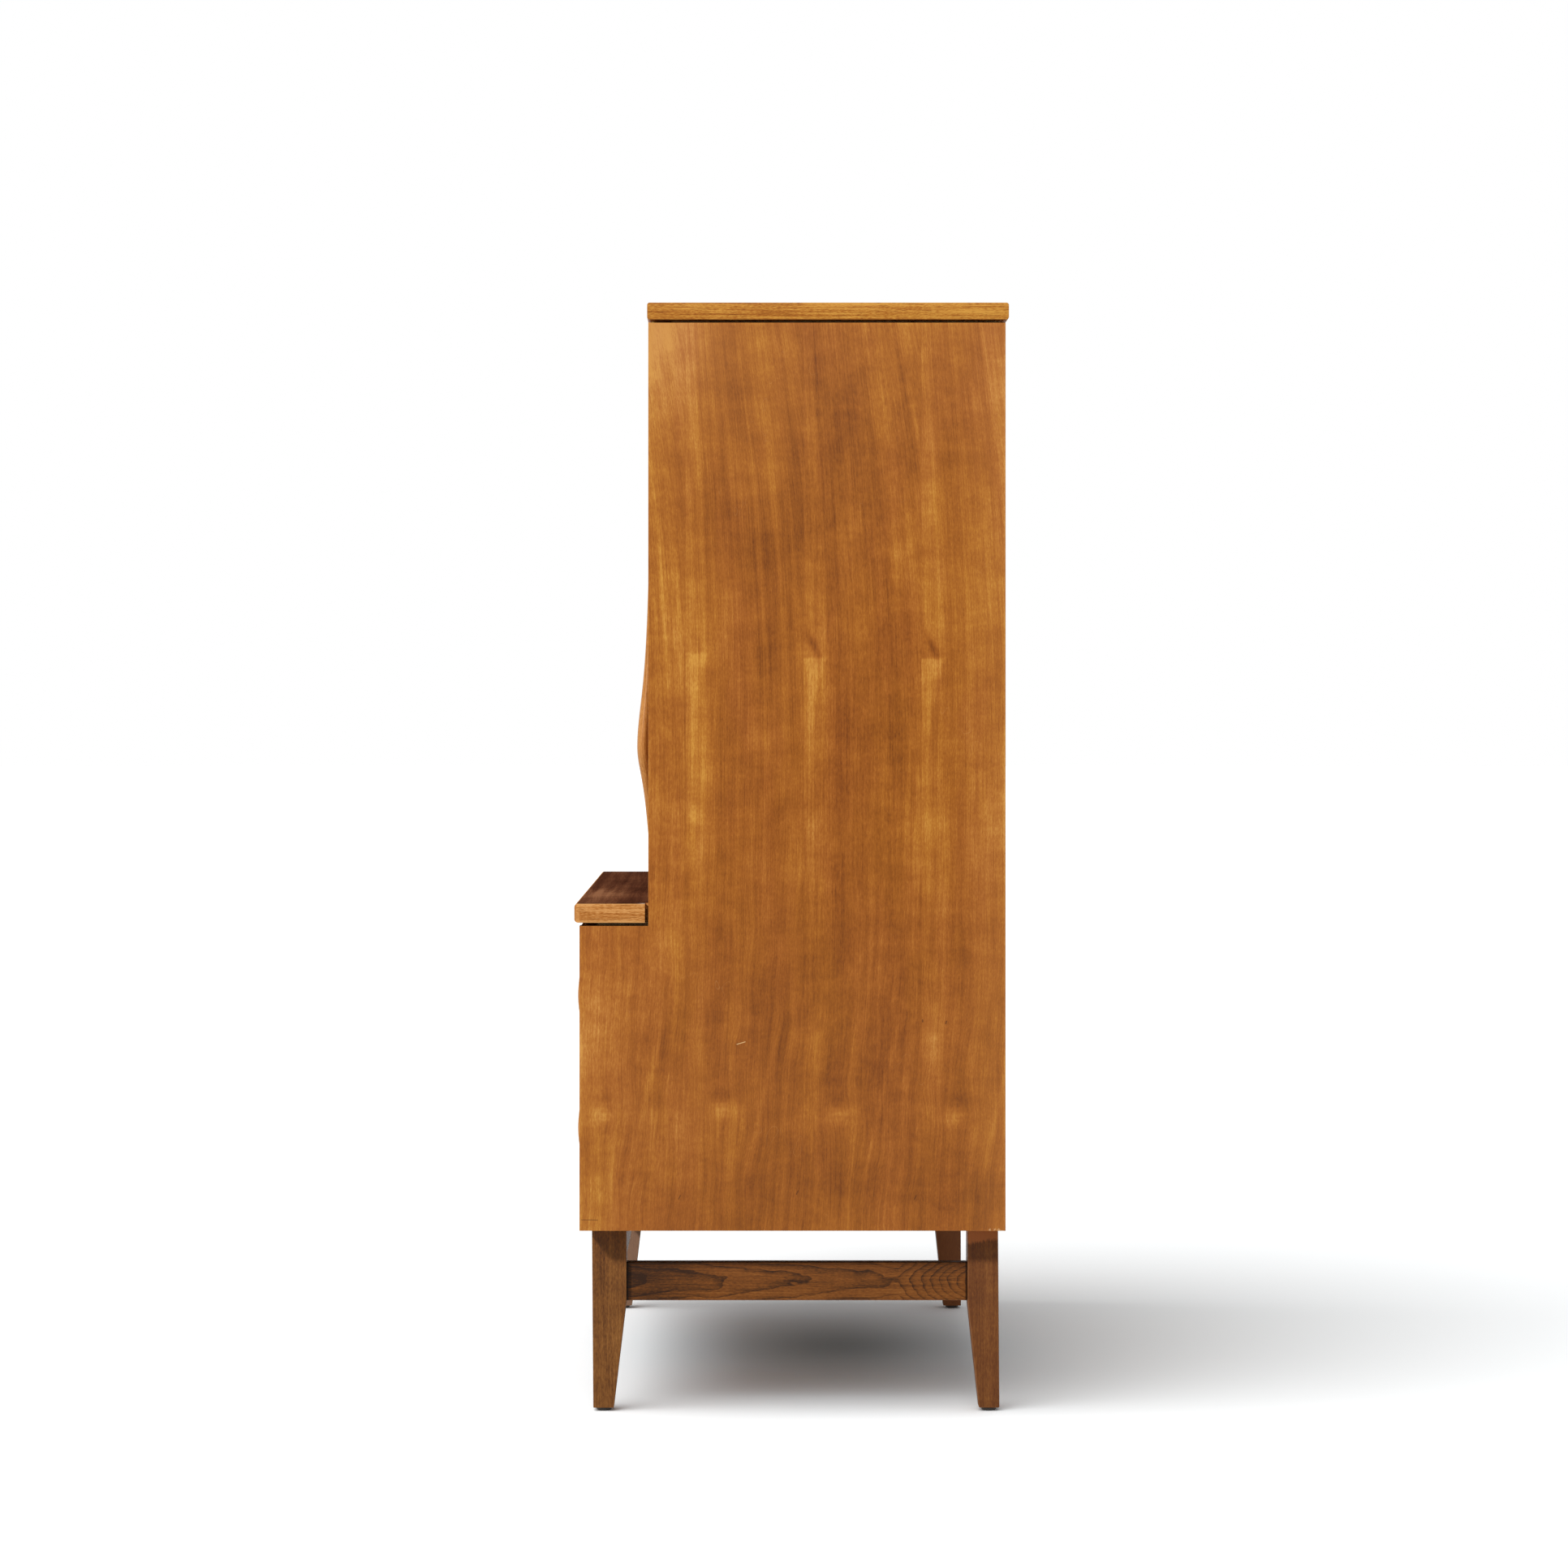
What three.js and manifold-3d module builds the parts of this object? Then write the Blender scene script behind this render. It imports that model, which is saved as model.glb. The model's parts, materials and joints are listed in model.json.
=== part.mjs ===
// Highboy: a cupboard with two doors above a deeper chest of two drawers, on four tapered legs.
// Millimetres, +Z up, the front faces -Y, the origin lies on the floor under the middle of the outline.

import * as THREE from "three";
import { mergeVertices } from "three/addons/utils/BufferGeometryUtils.js";
import Module from "manifold-3d";

const wasm = await Module();
wasm.setup();

// Case
const caseWidth = 1006;
const cupboardDepth = 429.6;
const stepDepth = 82.8;
const panelThickness = 19;
const panelHeight = 1092;
const lowerPanelHeight = 366.6;
const caseRise = 226;
const bottomPanelThickness = 19;
const backThickness = 5;

// Top slab, and the shadow gap under it
const topThickness = 20.1;
const topReveal = 3.3;
const topSideOverhang = 5;
const topFrontOverhang = 1.3;
const topBackOverhang = 3.7;
const topEdgeRadius = 3;
const subTopThickness = 19;
const subTopSetback = 8;

// Ledge slab on the step, and the shadow gap under it
const ledgeThickness = 22.8;
const ledgeReveal = 4;
const ledgeSideOverhang = 5;
const ledgeFrontOverhang = 6.3;
const ledgeNoseRadius = 4.5;
const ledgeCornerRadius = 9;
const ledgeNotchGap = 4;
const ledgeFit = 0.3;
const deckThickness = 19;

// Doors
const doorThickness = 19;
const doorRecess = 1;
const doorSideGap = 1.5;
const doorMeetingGap = 2;
const doorBottomGap = 2;

// Knife hinges
const pivotFromEdge = 14;
const pivotFromFace = 6;
const pivotRadius = 2;
const pivotFit = 0.3;
const pivotBossRadius = 3.6;
const leafLength = 40;
const leafWidth = 8;
const leafThickness = 2.5;
const leafFit = 0.3;

// Catch in the middle of the cupboard's ceiling
const catchWidth = 64;
const catchHeight = 13;
const catchDepth = 26;
const strikeWidth = 22;
const strikeHeight = 11;
const strikeThickness = 1.2;
const strikeFromMeeting = 6;
const strikeGap = 0.3;
const strikeDrop = 1;

// Shelves and their pins
const shelfThickness = 16;
const shelfSetback = 12;
const fixedShelfRise = 226;
const looseShelfRise = 452;
const looseShelfSideGap = 1;
const shelfPinRadius = 2.5;
const shelfPinDepth = 9;
const shelfPinReach = 9;
const shelfPinCollar = 4;
const shelfPinCollarWidth = 1.5;
const shelfPinInset = 60;
const shelfPinPitch = 32;
const shelfPinFit = 0.3;
const shelfRest = 0.3;

// Drawers
const drawerFrontThickness = 19;
const drawerRecess = 1;
const drawerSideGap = 1.5;
const drawerFrontGap = 3;
const drawerBottomGap = 2;
const drawerBoardThickness = 12;
const drawerBottomThickness = 5;
const drawerBoxGap = 3;
const drawerBoxDrop = 25;
const drawerBackGap = 12;
const drawerGrooveDepth = 5;
const drawerGrooveRise = 16;
const drawerGrooveFit = 0.3;
const runFit = 0.3;

// Drawer rails and guides
const railThickness = 19;
const railWidth = 60;
const railSetback = 1;
const guideWidth = 30;
const guideHeight = 14;
const guideSetback = 2;

// Sculpted pulls: a leaf that swells towards the hand
const pullBase = 9.5;
const pullTipThickness = 3;
const doorPullRise = 16;
const doorPullSwellHeight = 804;
const doorPullSpreadAbove = 92;
const doorPullSpreadBelow = 58;
const doorPullReachAbove = 346;
const doorPullReachBelow = 160;
const doorPullHalfWidth = 46;
const doorPullStemHalfWidth = 15;
const drawerPullRise = 11.35;
const drawerPullDrop = 30;
const drawerPullSpread = 56;
const drawerPullTipGap = 8;
const drawerPullHalfWidth = 36;
const drawerPullStemHalfWidth = 15;

// Base
const legInset = 55;
const legWidth = 39;
const frontLegDepth = 42;
const rearLegDepth = 37;
const frontLegSetback = 13.1;
const rearLegSetback = 5.6;
const legFaceTaper = 1.7;
const footSize = 25;
const stretcherHeight = 46.3;
const stretcherRise = 133.4;
const stretcherThickness = 20;
const sideStretcherRecess = 9;
const frontStretcherRecess = 11;
const tenonLength = 15;
const tenonShoulder = 6;
const tenonThickness = 10;
const tenonFit = 0.3;
const glideRadius = 9;
const glideFlatRadius = 6;
const glideHeight = 4;
const glideRimHeight = 1.5;
const glideShankRadius = 1.5;
const glideShankLength = 12;
const glideFit = 0.3;
const boltRadius = 4;
const boltInLeg = 45;
const boltInCase = 14;
const boltFit = 0.3;

// Cuts run this far past a face that they open
const cutOverrun = 1;

// Shares of a pull's half width and thickness, round its section from the meeting edge
const pullSectionShares = [
  [0, 0], [0, 0.4], [0.1, 0.47], [0.3, 0.7], [0.48, 0.88], [0.64, 0.98], [0.76, 1],
  [0.88, 0.95], [0.97, 0.82], [1, 0.66], [0.95, 0.5], [0.84, 0.36], [0.73, 0.24], [0.66, 0.1], [0.64, 0],
];
const pullFadePower = 5;
const pullCrowdingShare = 0.7;
const pullStations = 11;
const roundSides = 12;

// Heights of the main faces
const caseBottom = caseRise;
const panelTop = caseBottom + panelHeight;
const lowerPanelTop = caseBottom + lowerPanelHeight;
const topUnderside = panelTop + topReveal;
const topFace = topUnderside + topThickness;
const subTopUnderside = topUnderside - subTopThickness;
const ledgeUnderside = lowerPanelTop + ledgeReveal;
const ledgeFace = ledgeUnderside + ledgeThickness;
const deckUnderside = ledgeUnderside - deckThickness;
const drawerFloor = caseBottom + bottomPanelThickness;

// Depths of the main faces: the drawer pulls reach furthest forward, the top slab furthest back
const caseDepth = cupboardDepth + stepDepth;
const drawerPullReach = pullBase + drawerPullRise - drawerRecess;
const overallDepth = drawerPullReach + caseDepth + topBackOverhang;
const caseFront = -overallDepth / 2 + drawerPullReach;
const caseBack = caseFront + caseDepth;
const cupboardFront = caseBack - cupboardDepth;
const backFace = caseBack - backThickness;
const ledgeNose = caseFront - ledgeFrontOverhang;
const doorFace = cupboardFront + doorRecess;
const doorRear = doorFace + doorThickness;
const subTopFront = doorRear + subTopSetback;
const shelfFront = doorRear + shelfSetback;
const drawerFace = caseFront + drawerRecess;
const drawerFrontRear = drawerFace + drawerFrontThickness;

// Widths of the main faces, from the middle
const caseSide = caseWidth / 2;
const innerSide = caseSide - panelThickness;
const topSide = caseSide + topSideOverhang;
const ledgeSide = caseSide + ledgeSideOverhang;

const sides = { left: -1, right: 1 };

// Finishes
function finish(color, roughness, metalness = 0) {
  return new THREE.MeshStandardMaterial({ color, roughness, metalness });
}

const materials = {
  veneer: finish(0xa8662a, 0.45),
  slabWood: finish(0xa9682f, 0.42),
  ledgeWood: finish(0x6e4030, 0.4),
  darkWood: finish(0x6e4220, 0.45),
  pullWood: finish(0x8a5427, 0.4),
  boxWood: finish(0xc9a877, 0.65),
  backBoard: finish(0x7a5a3c, 0.8),
  brass: finish(0xb08d4a, 0.35, 1),
  steel: finish(0x9a9a98, 0.4, 1),
  plastic: finish(0x3a2b22, 0.55),
  glide: finish(0x2b2420, 0.5),
};

// The low and high end of a range that is given from the middle outwards on one side
function across(side, inner, outer) {
  return side > 0 ? [inner, outer] : [-outer, -inner];
}

// A board between two values along each axis, its corners exactly on them
function board(xs, ys, zs) {
  const geometry = new THREE.BoxGeometry(1, 1, 1);
  const place = geometry.attributes.position;
  for (let i = 0; i < place.count; i += 1) {
    const x = place.getX(i) < 0 ? xs[0] : xs[1];
    const y = place.getY(i) < 0 ? ys[0] : ys[1];
    const z = place.getZ(i) < 0 ? zs[0] : zs[1];
    place.setXYZ(i, x, y, z);
  }
  return geometry;
}

// A shape in the plane across one axis, carried from low to high along that axis.
// Across x the shape is drawn in y and z, across y in x and z, across z in x and y.
function prism(shape, axis, low, high) {
  const geometry = new THREE.ExtrudeGeometry(shape, { depth: 1, bevelEnabled: false, curveSegments: 5 });
  const place = geometry.attributes.position;
  for (let i = 0; i < place.count; i += 1) {
    const u = place.getX(i);
    const v = place.getY(i);
    const start = place.getZ(i) === 0;
    if (axis === "x") place.setXYZ(i, start ? low : high, u, v);
    if (axis === "y") place.setXYZ(i, u, start ? high : low, v);
    if (axis === "z") place.setXYZ(i, u, v, start ? low : high);
  }
  return geometry;
}

function polygon(points) {
  return new THREE.Shape(points.map(([u, v]) => new THREE.Vector2(u, v)));
}

// A rectangle whose corners are quarter circles
function roundedRectangle(us, vs, radius) {
  const shape = new THREE.Shape();
  shape.absarc(us[1] - radius, vs[0] + radius, radius, -Math.PI / 2, 0);
  shape.absarc(us[1] - radius, vs[1] - radius, radius, 0, Math.PI / 2);
  shape.absarc(us[0] + radius, vs[1] - radius, radius, Math.PI / 2, Math.PI);
  shape.absarc(us[0] + radius, vs[0] + radius, radius, Math.PI, Math.PI * 1.5);
  return shape;
}

// A round rod along one axis
function rod(radius, axis, low, high, u = 0, v = 0) {
  const shape = new THREE.Shape();
  shape.absarc(u, v, radius, 0, Math.PI * 2);
  const corners = shape.getSpacedPoints(roundSides).slice(0, -1);
  return prism(new THREE.Shape(corners), axis, low, high);
}

// Turns a closed geometry into a solid that can be joined and cut
function solid(geometry) {
  const bare = geometry.clone();
  bare.deleteAttribute("normal");
  bare.deleteAttribute("uv");
  const merged = mergeVertices(bare);
  const mesh = new wasm.Mesh({
    numProp: 3,
    vertProperties: new Float32Array(merged.attributes.position.array),
    triVerts: new Uint32Array(merged.index.array),
  });
  return new wasm.Manifold(mesh);
}

function geometryOf(body) {
  const mesh = body.getMesh();
  const geometry = new THREE.BufferGeometry();
  geometry.setAttribute("position", new THREE.BufferAttribute(new Float32Array(mesh.vertProperties), 3));
  geometry.setIndex(new THREE.BufferAttribute(new Uint32Array(mesh.triVerts), 1));
  geometry.computeVertexNormals();
  return geometry;
}

function cut(geometry, cutters) {
  let body = solid(geometry);
  for (const cutter of cutters) body = body.subtract(solid(cutter));
  return geometryOf(body);
}

function join(geometries) {
  let body = solid(geometries[0]);
  for (const geometry of geometries.slice(1)) body = body.add(solid(geometry));
  return geometryOf(body);
}

function common(first, second) {
  return geometryOf(solid(first).intersect(solid(second)));
}

// A closed skin through rings of equally many points, with both ends capped, facing outwards
function loft(rings, sectionPoints) {
  const count = rings[0].length;
  const positions = rings.flat(2);
  const triangles = [];
  for (let ring = 0; ring + 1 < rings.length; ring += 1) {
    for (let point = 0; point < count; point += 1) {
      const a = ring * count + point;
      const b = ring * count + (point + 1) % count;
      triangles.push([a, b, b + count], [a, b + count, a + count]);
    }
  }
  const last = (rings.length - 1) * count;
  const clockwise = THREE.ShapeUtils.isClockWise(sectionPoints);
  for (const [a, second, third] of THREE.ShapeUtils.triangulateShape(sectionPoints, [])) {
    const [b, c] = clockwise ? [third, second] : [second, third];
    triangles.push([a, c, b], [last + a, last + b, last + c]);
  }
  const corner = (index) => new THREE.Vector3().fromArray(positions, index * 3);
  const volume = triangles.reduce(
    (sum, [a, b, c]) => sum + corner(a).dot(corner(b).cross(corner(c))),
    0,
  );
  const facing = triangles.map(([a, b, c]) => (volume > 0 ? [a, b, c] : [a, c, b]));
  const geometry = new THREE.BufferGeometry();
  geometry.setAttribute("position", new THREE.Float32BufferAttribute(positions, 3));
  geometry.setIndex(facing.flat());
  geometry.computeVertexNormals();
  return geometry;
}

function piece(name, geometry, material) {
  const mesh = new THREE.Mesh(geometry, material);
  mesh.name = name;
  return mesh;
}

function group(children) {
  const holder = new THREE.Group();
  holder.add(...children);
  return holder;
}

// Places that the doors, hinges and shelf pins share
const doorEdge = innerSide - doorSideGap;
const doorMeeting = doorMeetingGap / 2;
const doorLow = ledgeFace + doorBottomGap;
const doorHigh = panelTop;
const pivotX = doorEdge - pivotFromEdge;
const pivotY = doorFace + pivotFromFace;
const fixedShelfUnderside = ledgeFace + fixedShelfRise;
const looseShelfUnderside = ledgeFace + looseShelfRise;
const shelfPinHeight = looseShelfUnderside - shelfRest - shelfPinRadius;
const shelfPinRows = { front: shelfFront + shelfPinInset, rear: backFace - shelfPinInset };

// The outline of a knife hinge leaf in plan: round at the pivot end, with an allowance all round
function leafOutline(side, x, y, allowance) {
  const half = leafWidth / 2 + allowance;
  const square = x - side * (leafLength + allowance);
  const shape = new THREE.Shape();
  shape.moveTo(square, y - side * half);
  shape.lineTo(x, y - side * half);
  shape.absarc(x, y, half, -side * Math.PI / 2, side * Math.PI / 2);
  shape.lineTo(square, y + side * half);
  return shape;
}

// Side panels, with the holes for the loose shelf's pins
function sidePanel(side) {
  const outline = polygon([
    [caseFront, caseBottom], [caseBack, caseBottom], [caseBack, panelTop],
    [cupboardFront, panelTop], [cupboardFront, lowerPanelTop], [caseFront, lowerPanelTop],
  ]);
  const [low, high] = across(side, innerSide, caseSide);
  const holes = [];
  for (const y of Object.values(shelfPinRows)) {
    for (const step of [-1, 0, 1]) {
      const z = shelfPinHeight + step * shelfPinPitch;
      const bottom = innerSide + shelfPinDepth + shelfPinFit;
      const ends = across(side, innerSide - cutOverrun, bottom);
      holes.push(rod(shelfPinRadius + shelfPinFit, "x", ...ends, y, z));
    }
  }
  return cut(prism(outline, "x", low, high), holes);
}

// Top slab, its long edges eased, with the pockets of the upper hinge leaves
function topSlab() {
  const section = roundedRectangle(
    [cupboardFront - topFrontOverhang, caseBack + topBackOverhang],
    [topUnderside, topFace],
    topEdgeRadius,
  );
  const pockets = Object.values(sides).map((side) => prism(
    leafOutline(side, side * pivotX, pivotY, leafFit),
    "z",
    topUnderside - cutOverrun,
    topUnderside + leafThickness + leafFit,
  ));
  return cut(prism(section, "x", -topSide, topSide), pockets);
}

// Ledge slab: full width on the step, and narrower where it runs back between the sides
function ledgeSlab() {
  const wingBack = cupboardFront - ledgeNotchGap;
  const tongue = innerSide - ledgeFit;
  const cornerX = ledgeSide - ledgeCornerRadius;
  const cornerY = ledgeNose + ledgeCornerRadius;
  const plan = new THREE.Shape();
  plan.moveTo(-tongue, backFace);
  plan.lineTo(-tongue, wingBack);
  plan.lineTo(-ledgeSide, wingBack);
  plan.absarc(-cornerX, cornerY, ledgeCornerRadius, Math.PI, Math.PI * 1.5);
  plan.absarc(cornerX, cornerY, ledgeCornerRadius, -Math.PI / 2, 0);
  plan.lineTo(ledgeSide, wingBack);
  plan.lineTo(tongue, wingBack);
  plan.lineTo(tongue, backFace);
  const section = new THREE.Shape();
  const top = ledgeFace - ledgeNoseRadius;
  const bottom = ledgeUnderside + ledgeNoseRadius;
  section.moveTo(backFace, ledgeUnderside);
  section.lineTo(backFace, ledgeFace);
  section.absarc(ledgeNose + ledgeNoseRadius, top, ledgeNoseRadius, Math.PI / 2, Math.PI);
  section.absarc(ledgeNose + ledgeNoseRadius, bottom, ledgeNoseRadius, Math.PI, Math.PI * 1.5);
  const slab = common(
    prism(plan, "z", ledgeUnderside, ledgeFace),
    prism(section, "x", -ledgeSide, ledgeSide),
  );
  const pockets = Object.values(sides).map((side) => prism(
    leafOutline(side, side * pivotX, pivotY, leafFit),
    "z",
    ledgeFace - leafThickness - leafFit,
    ledgeFace + cutOverrun,
  ));
  return cut(slab, pockets);
}

// Bottom panel, with the blind holes of the leg bolts
function bottomPanel(boltPlaces) {
  const holes = boltPlaces.map(([x, y]) => rod(
    boltRadius + boltFit,
    "z",
    caseBottom - cutOverrun,
    caseBottom + boltInCase + boltFit,
    x,
    y,
  ));
  return cut(board([-innerSide, innerSide], [drawerFace, backFace], [caseBottom, drawerFloor]), holes);
}

function shelfPin(side, y) {
  const shank = across(side, innerSide - shelfPinReach, innerSide + shelfPinDepth);
  const collar = across(side, innerSide - shelfPinCollarWidth, innerSide);
  return join([
    rod(shelfPinRadius, "x", ...shank, y, shelfPinHeight),
    cut(rod(shelfPinCollar, "x", ...collar, y, shelfPinHeight), [collarFlat(side, y)]),
  ]);
}

// The collar is cut level with the shank, so that the shelf lies close to both
function collarFlat(side, y) {
  const level = shelfPinHeight + shelfPinRadius;
  return board(
    across(side, innerSide - shelfPinReach, innerSide + cutOverrun),
    [y - shelfPinCollar - cutOverrun, y + shelfPinCollar + cutOverrun],
    [level, level + shelfPinCollar],
  );
}

function caseGroup(boltPlaces) {
  const between = [-innerSide, innerSide];
  const deckFront = drawerFrontRear + railSetback;
  const subTop = board(between, [subTopFront, backFace], [subTopUnderside, topUnderside]);
  const deck = board(between, [deckFront, backFace], [deckUnderside, ledgeUnderside]);
  const back = board(between, [backFace, caseBack], [caseBottom, panelTop]);
  const fixedShelf = board(
    between,
    [shelfFront, backFace],
    [fixedShelfUnderside, fixedShelfUnderside + shelfThickness],
  );
  const looseShelf = board(
    [-innerSide + looseShelfSideGap, innerSide - looseShelfSideGap],
    [shelfFront, backFace - looseShelfSideGap],
    [looseShelfUnderside, looseShelfUnderside + shelfThickness],
  );
  const pieces = [
    piece("left_side_panel", sidePanel(sides.left), materials.veneer),
    piece("right_side_panel", sidePanel(sides.right), materials.veneer),
    piece("top_slab", topSlab(), materials.slabWood),
    piece("sub_top", subTop, materials.boxWood),
    piece("ledge_slab", ledgeSlab(), materials.ledgeWood),
    piece("middle_deck", deck, materials.boxWood),
    piece("bottom_panel", bottomPanel(boltPlaces), materials.veneer),
    piece("back_panel", back, materials.backBoard),
    piece("fixed_shelf", fixedShelf, materials.veneer),
    piece("loose_shelf", looseShelf, materials.veneer),
  ];
  for (const [sideName, side] of Object.entries(sides)) {
    for (const [rowName, y] of Object.entries(shelfPinRows)) {
      pieces.push(piece(`${rowName}_${sideName}_shelf_pin`, shelfPin(side, y), materials.brass));
    }
  }
  return group(pieces);
}

// How far a pull stands out, and how wide it is, at a height above or below its swell.
// It falls off from the swell as a bell and fades to its tips.
function pullSize(offset, pull) {
  const spread = offset > 0 ? pull.spreadAbove : pull.spreadBelow;
  const reach = offset > 0 ? pull.reachAbove : pull.reachBelow;
  const bell = 1 / (1 + (offset / spread) ** 2);
  const share = Math.abs(offset) / reach;
  const fade = Math.sqrt(Math.max(0, 1 - share ** pullFadePower));
  const body = pullBase + pull.rise * bell - pullTipThickness;
  const halfWidth = pull.stemHalfWidth + (pull.halfWidth - pull.stemHalfWidth) * bell - pullTipThickness;
  return { thickness: pullTipThickness + body * fade, halfWidth: pullTipThickness + halfWidth * fade };
}

// Heights of a pull's rings from its swell, closer together at the swell and towards the tips
function pullOffsets(pull) {
  const offsets = [];
  for (let i = -pullStations; i <= pullStations; i += 1) {
    const reach = i > 0 ? pull.reachAbove : pull.reachBelow;
    const turn = (i / pullStations) * Math.PI * 2;
    offsets.push(reach * (turn - pullCrowdingShare * Math.sin(turn)) / (Math.PI * 2));
  }
  return offsets;
}

// A leaf whose section runs from the meeting edge over the crest and back under the finger edge
function halfPull(side, innerX, faceY, pull) {
  const rings = pullOffsets(pull).map((offset) => {
    const { thickness, halfWidth } = pullSize(offset, pull);
    return pullSectionShares.map(([widthShare, thicknessShare]) => [
      side * (innerX + widthShare * halfWidth),
      faceY - thicknessShare * thickness,
      pull.swellHeight + offset,
    ]);
  });
  return loft(rings, pullSectionShares.map(([u, v]) => new THREE.Vector2(u, v)));
}

// Both leaves in one, for a drawer
function wholePull(faceY, pull) {
  const half = pullSectionShares.slice(1);
  const mirrored = half.slice(1).reverse().map(([u, v]) => [-u, v]);
  const section = [...half, ...mirrored];
  const rings = pullOffsets(pull).map((offset) => {
    const { thickness, halfWidth } = pullSize(offset, pull);
    return section.map(([widthShare, thicknessShare]) => [
      widthShare * halfWidth,
      faceY - thicknessShare * thickness,
      pull.swellHeight + offset,
    ]);
  });
  return loft(rings, section.map(([u, v]) => new THREE.Vector2(u, v)));
}

// One door, drawn from its pivot: its panel, pull, strike and the two door leaves
function doorGroup(sideName, side) {
  const localX = (inner, outer) => across(side, inner - pivotX, outer - pivotX);
  const face = doorFace - pivotY;
  const rear = doorRear - pivotY;
  const pockets = [
    [doorLow - cutOverrun, doorLow + leafThickness + leafFit],
    [doorHigh - leafThickness - leafFit, doorHigh + cutOverrun],
  ].map(([low, high]) => prism(leafOutline(side, 0, 0, leafFit), "z", low, high));
  const panel = cut(board(localX(doorMeeting, doorEdge), [face, rear], [doorLow, doorHigh]), pockets);
  const leaf = (low) => cut(
    prism(leafOutline(side, 0, 0, 0), "z", low, low + leafThickness),
    [rod(pivotRadius + pivotFit, "z", low - cutOverrun, low + leafThickness + cutOverrun)],
  );
  const pull = halfPull(side, doorMeeting - pivotX, face, {
    rise: doorPullRise,
    swellHeight: doorPullSwellHeight,
    spreadAbove: doorPullSpreadAbove,
    spreadBelow: doorPullSpreadBelow,
    reachAbove: doorPullReachAbove,
    reachBelow: doorPullReachBelow,
    halfWidth: doorPullHalfWidth,
    stemHalfWidth: doorPullStemHalfWidth,
  });
  const strikeHigh = subTopUnderside - strikeDrop;
  const strike = board(
    localX(doorMeeting + strikeFromMeeting, doorMeeting + strikeFromMeeting + strikeWidth),
    [rear, rear + strikeThickness],
    [strikeHigh - strikeHeight, strikeHigh],
  );
  const door = group([
    piece(`${sideName}_door`, panel, materials.veneer),
    piece(`${sideName}_door_pull`, pull, materials.pullWood),
    piece(`${sideName}_strike`, strike, materials.steel),
    piece(`${sideName}_bottom_door_leaf`, leaf(doorLow), materials.brass),
    piece(`${sideName}_top_door_leaf`, leaf(doorHigh - leafThickness), materials.brass),
  ]);
  door.position.set(side * pivotX, pivotY, 0);
  return door;
}

// The hinge leaves in the slabs: a plate let in flush, a boss that fills the gap, and the pin
function caseLeaves(sideName, side) {
  const x = side * pivotX;
  const outline = leafOutline(side, x, pivotY, 0);
  const bottom = join([
    prism(outline, "z", ledgeFace - leafThickness, ledgeFace),
    rod(pivotBossRadius, "z", ledgeFace - pivotFit, doorLow - pivotFit, x, pivotY),
    rod(pivotRadius, "z", ledgeFace - pivotFit, doorLow + leafThickness, x, pivotY),
  ]);
  const top = join([
    prism(outline, "z", topUnderside, topUnderside + leafThickness),
    rod(pivotBossRadius, "z", doorHigh + pivotFit, topUnderside + pivotFit, x, pivotY),
    rod(pivotRadius, "z", doorHigh - leafThickness, topUnderside + pivotFit, x, pivotY),
  ]);
  return group([
    piece(`${sideName}_bottom_case_leaf`, bottom, materials.brass),
    piece(`${sideName}_top_case_leaf`, top, materials.brass),
  ]);
}

function catchPiece() {
  const front = doorRear + strikeThickness + strikeGap;
  return piece("magnetic_catch", board(
    [-catchWidth / 2, catchWidth / 2],
    [front, front + catchDepth],
    [subTopUnderside - catchHeight, subTopUnderside],
  ), materials.plastic);
}

// Drawer sizes that the rails and guides share
const drawerPitch = (lowerPanelTop - drawerFloor - drawerBottomGap + drawerFrontGap) / 2;
const drawerFrontHeight = drawerPitch - drawerFrontGap;
const boxLow = drawerFloor + runFit;
const guideHigh = drawerFloor + guideHeight;

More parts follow.
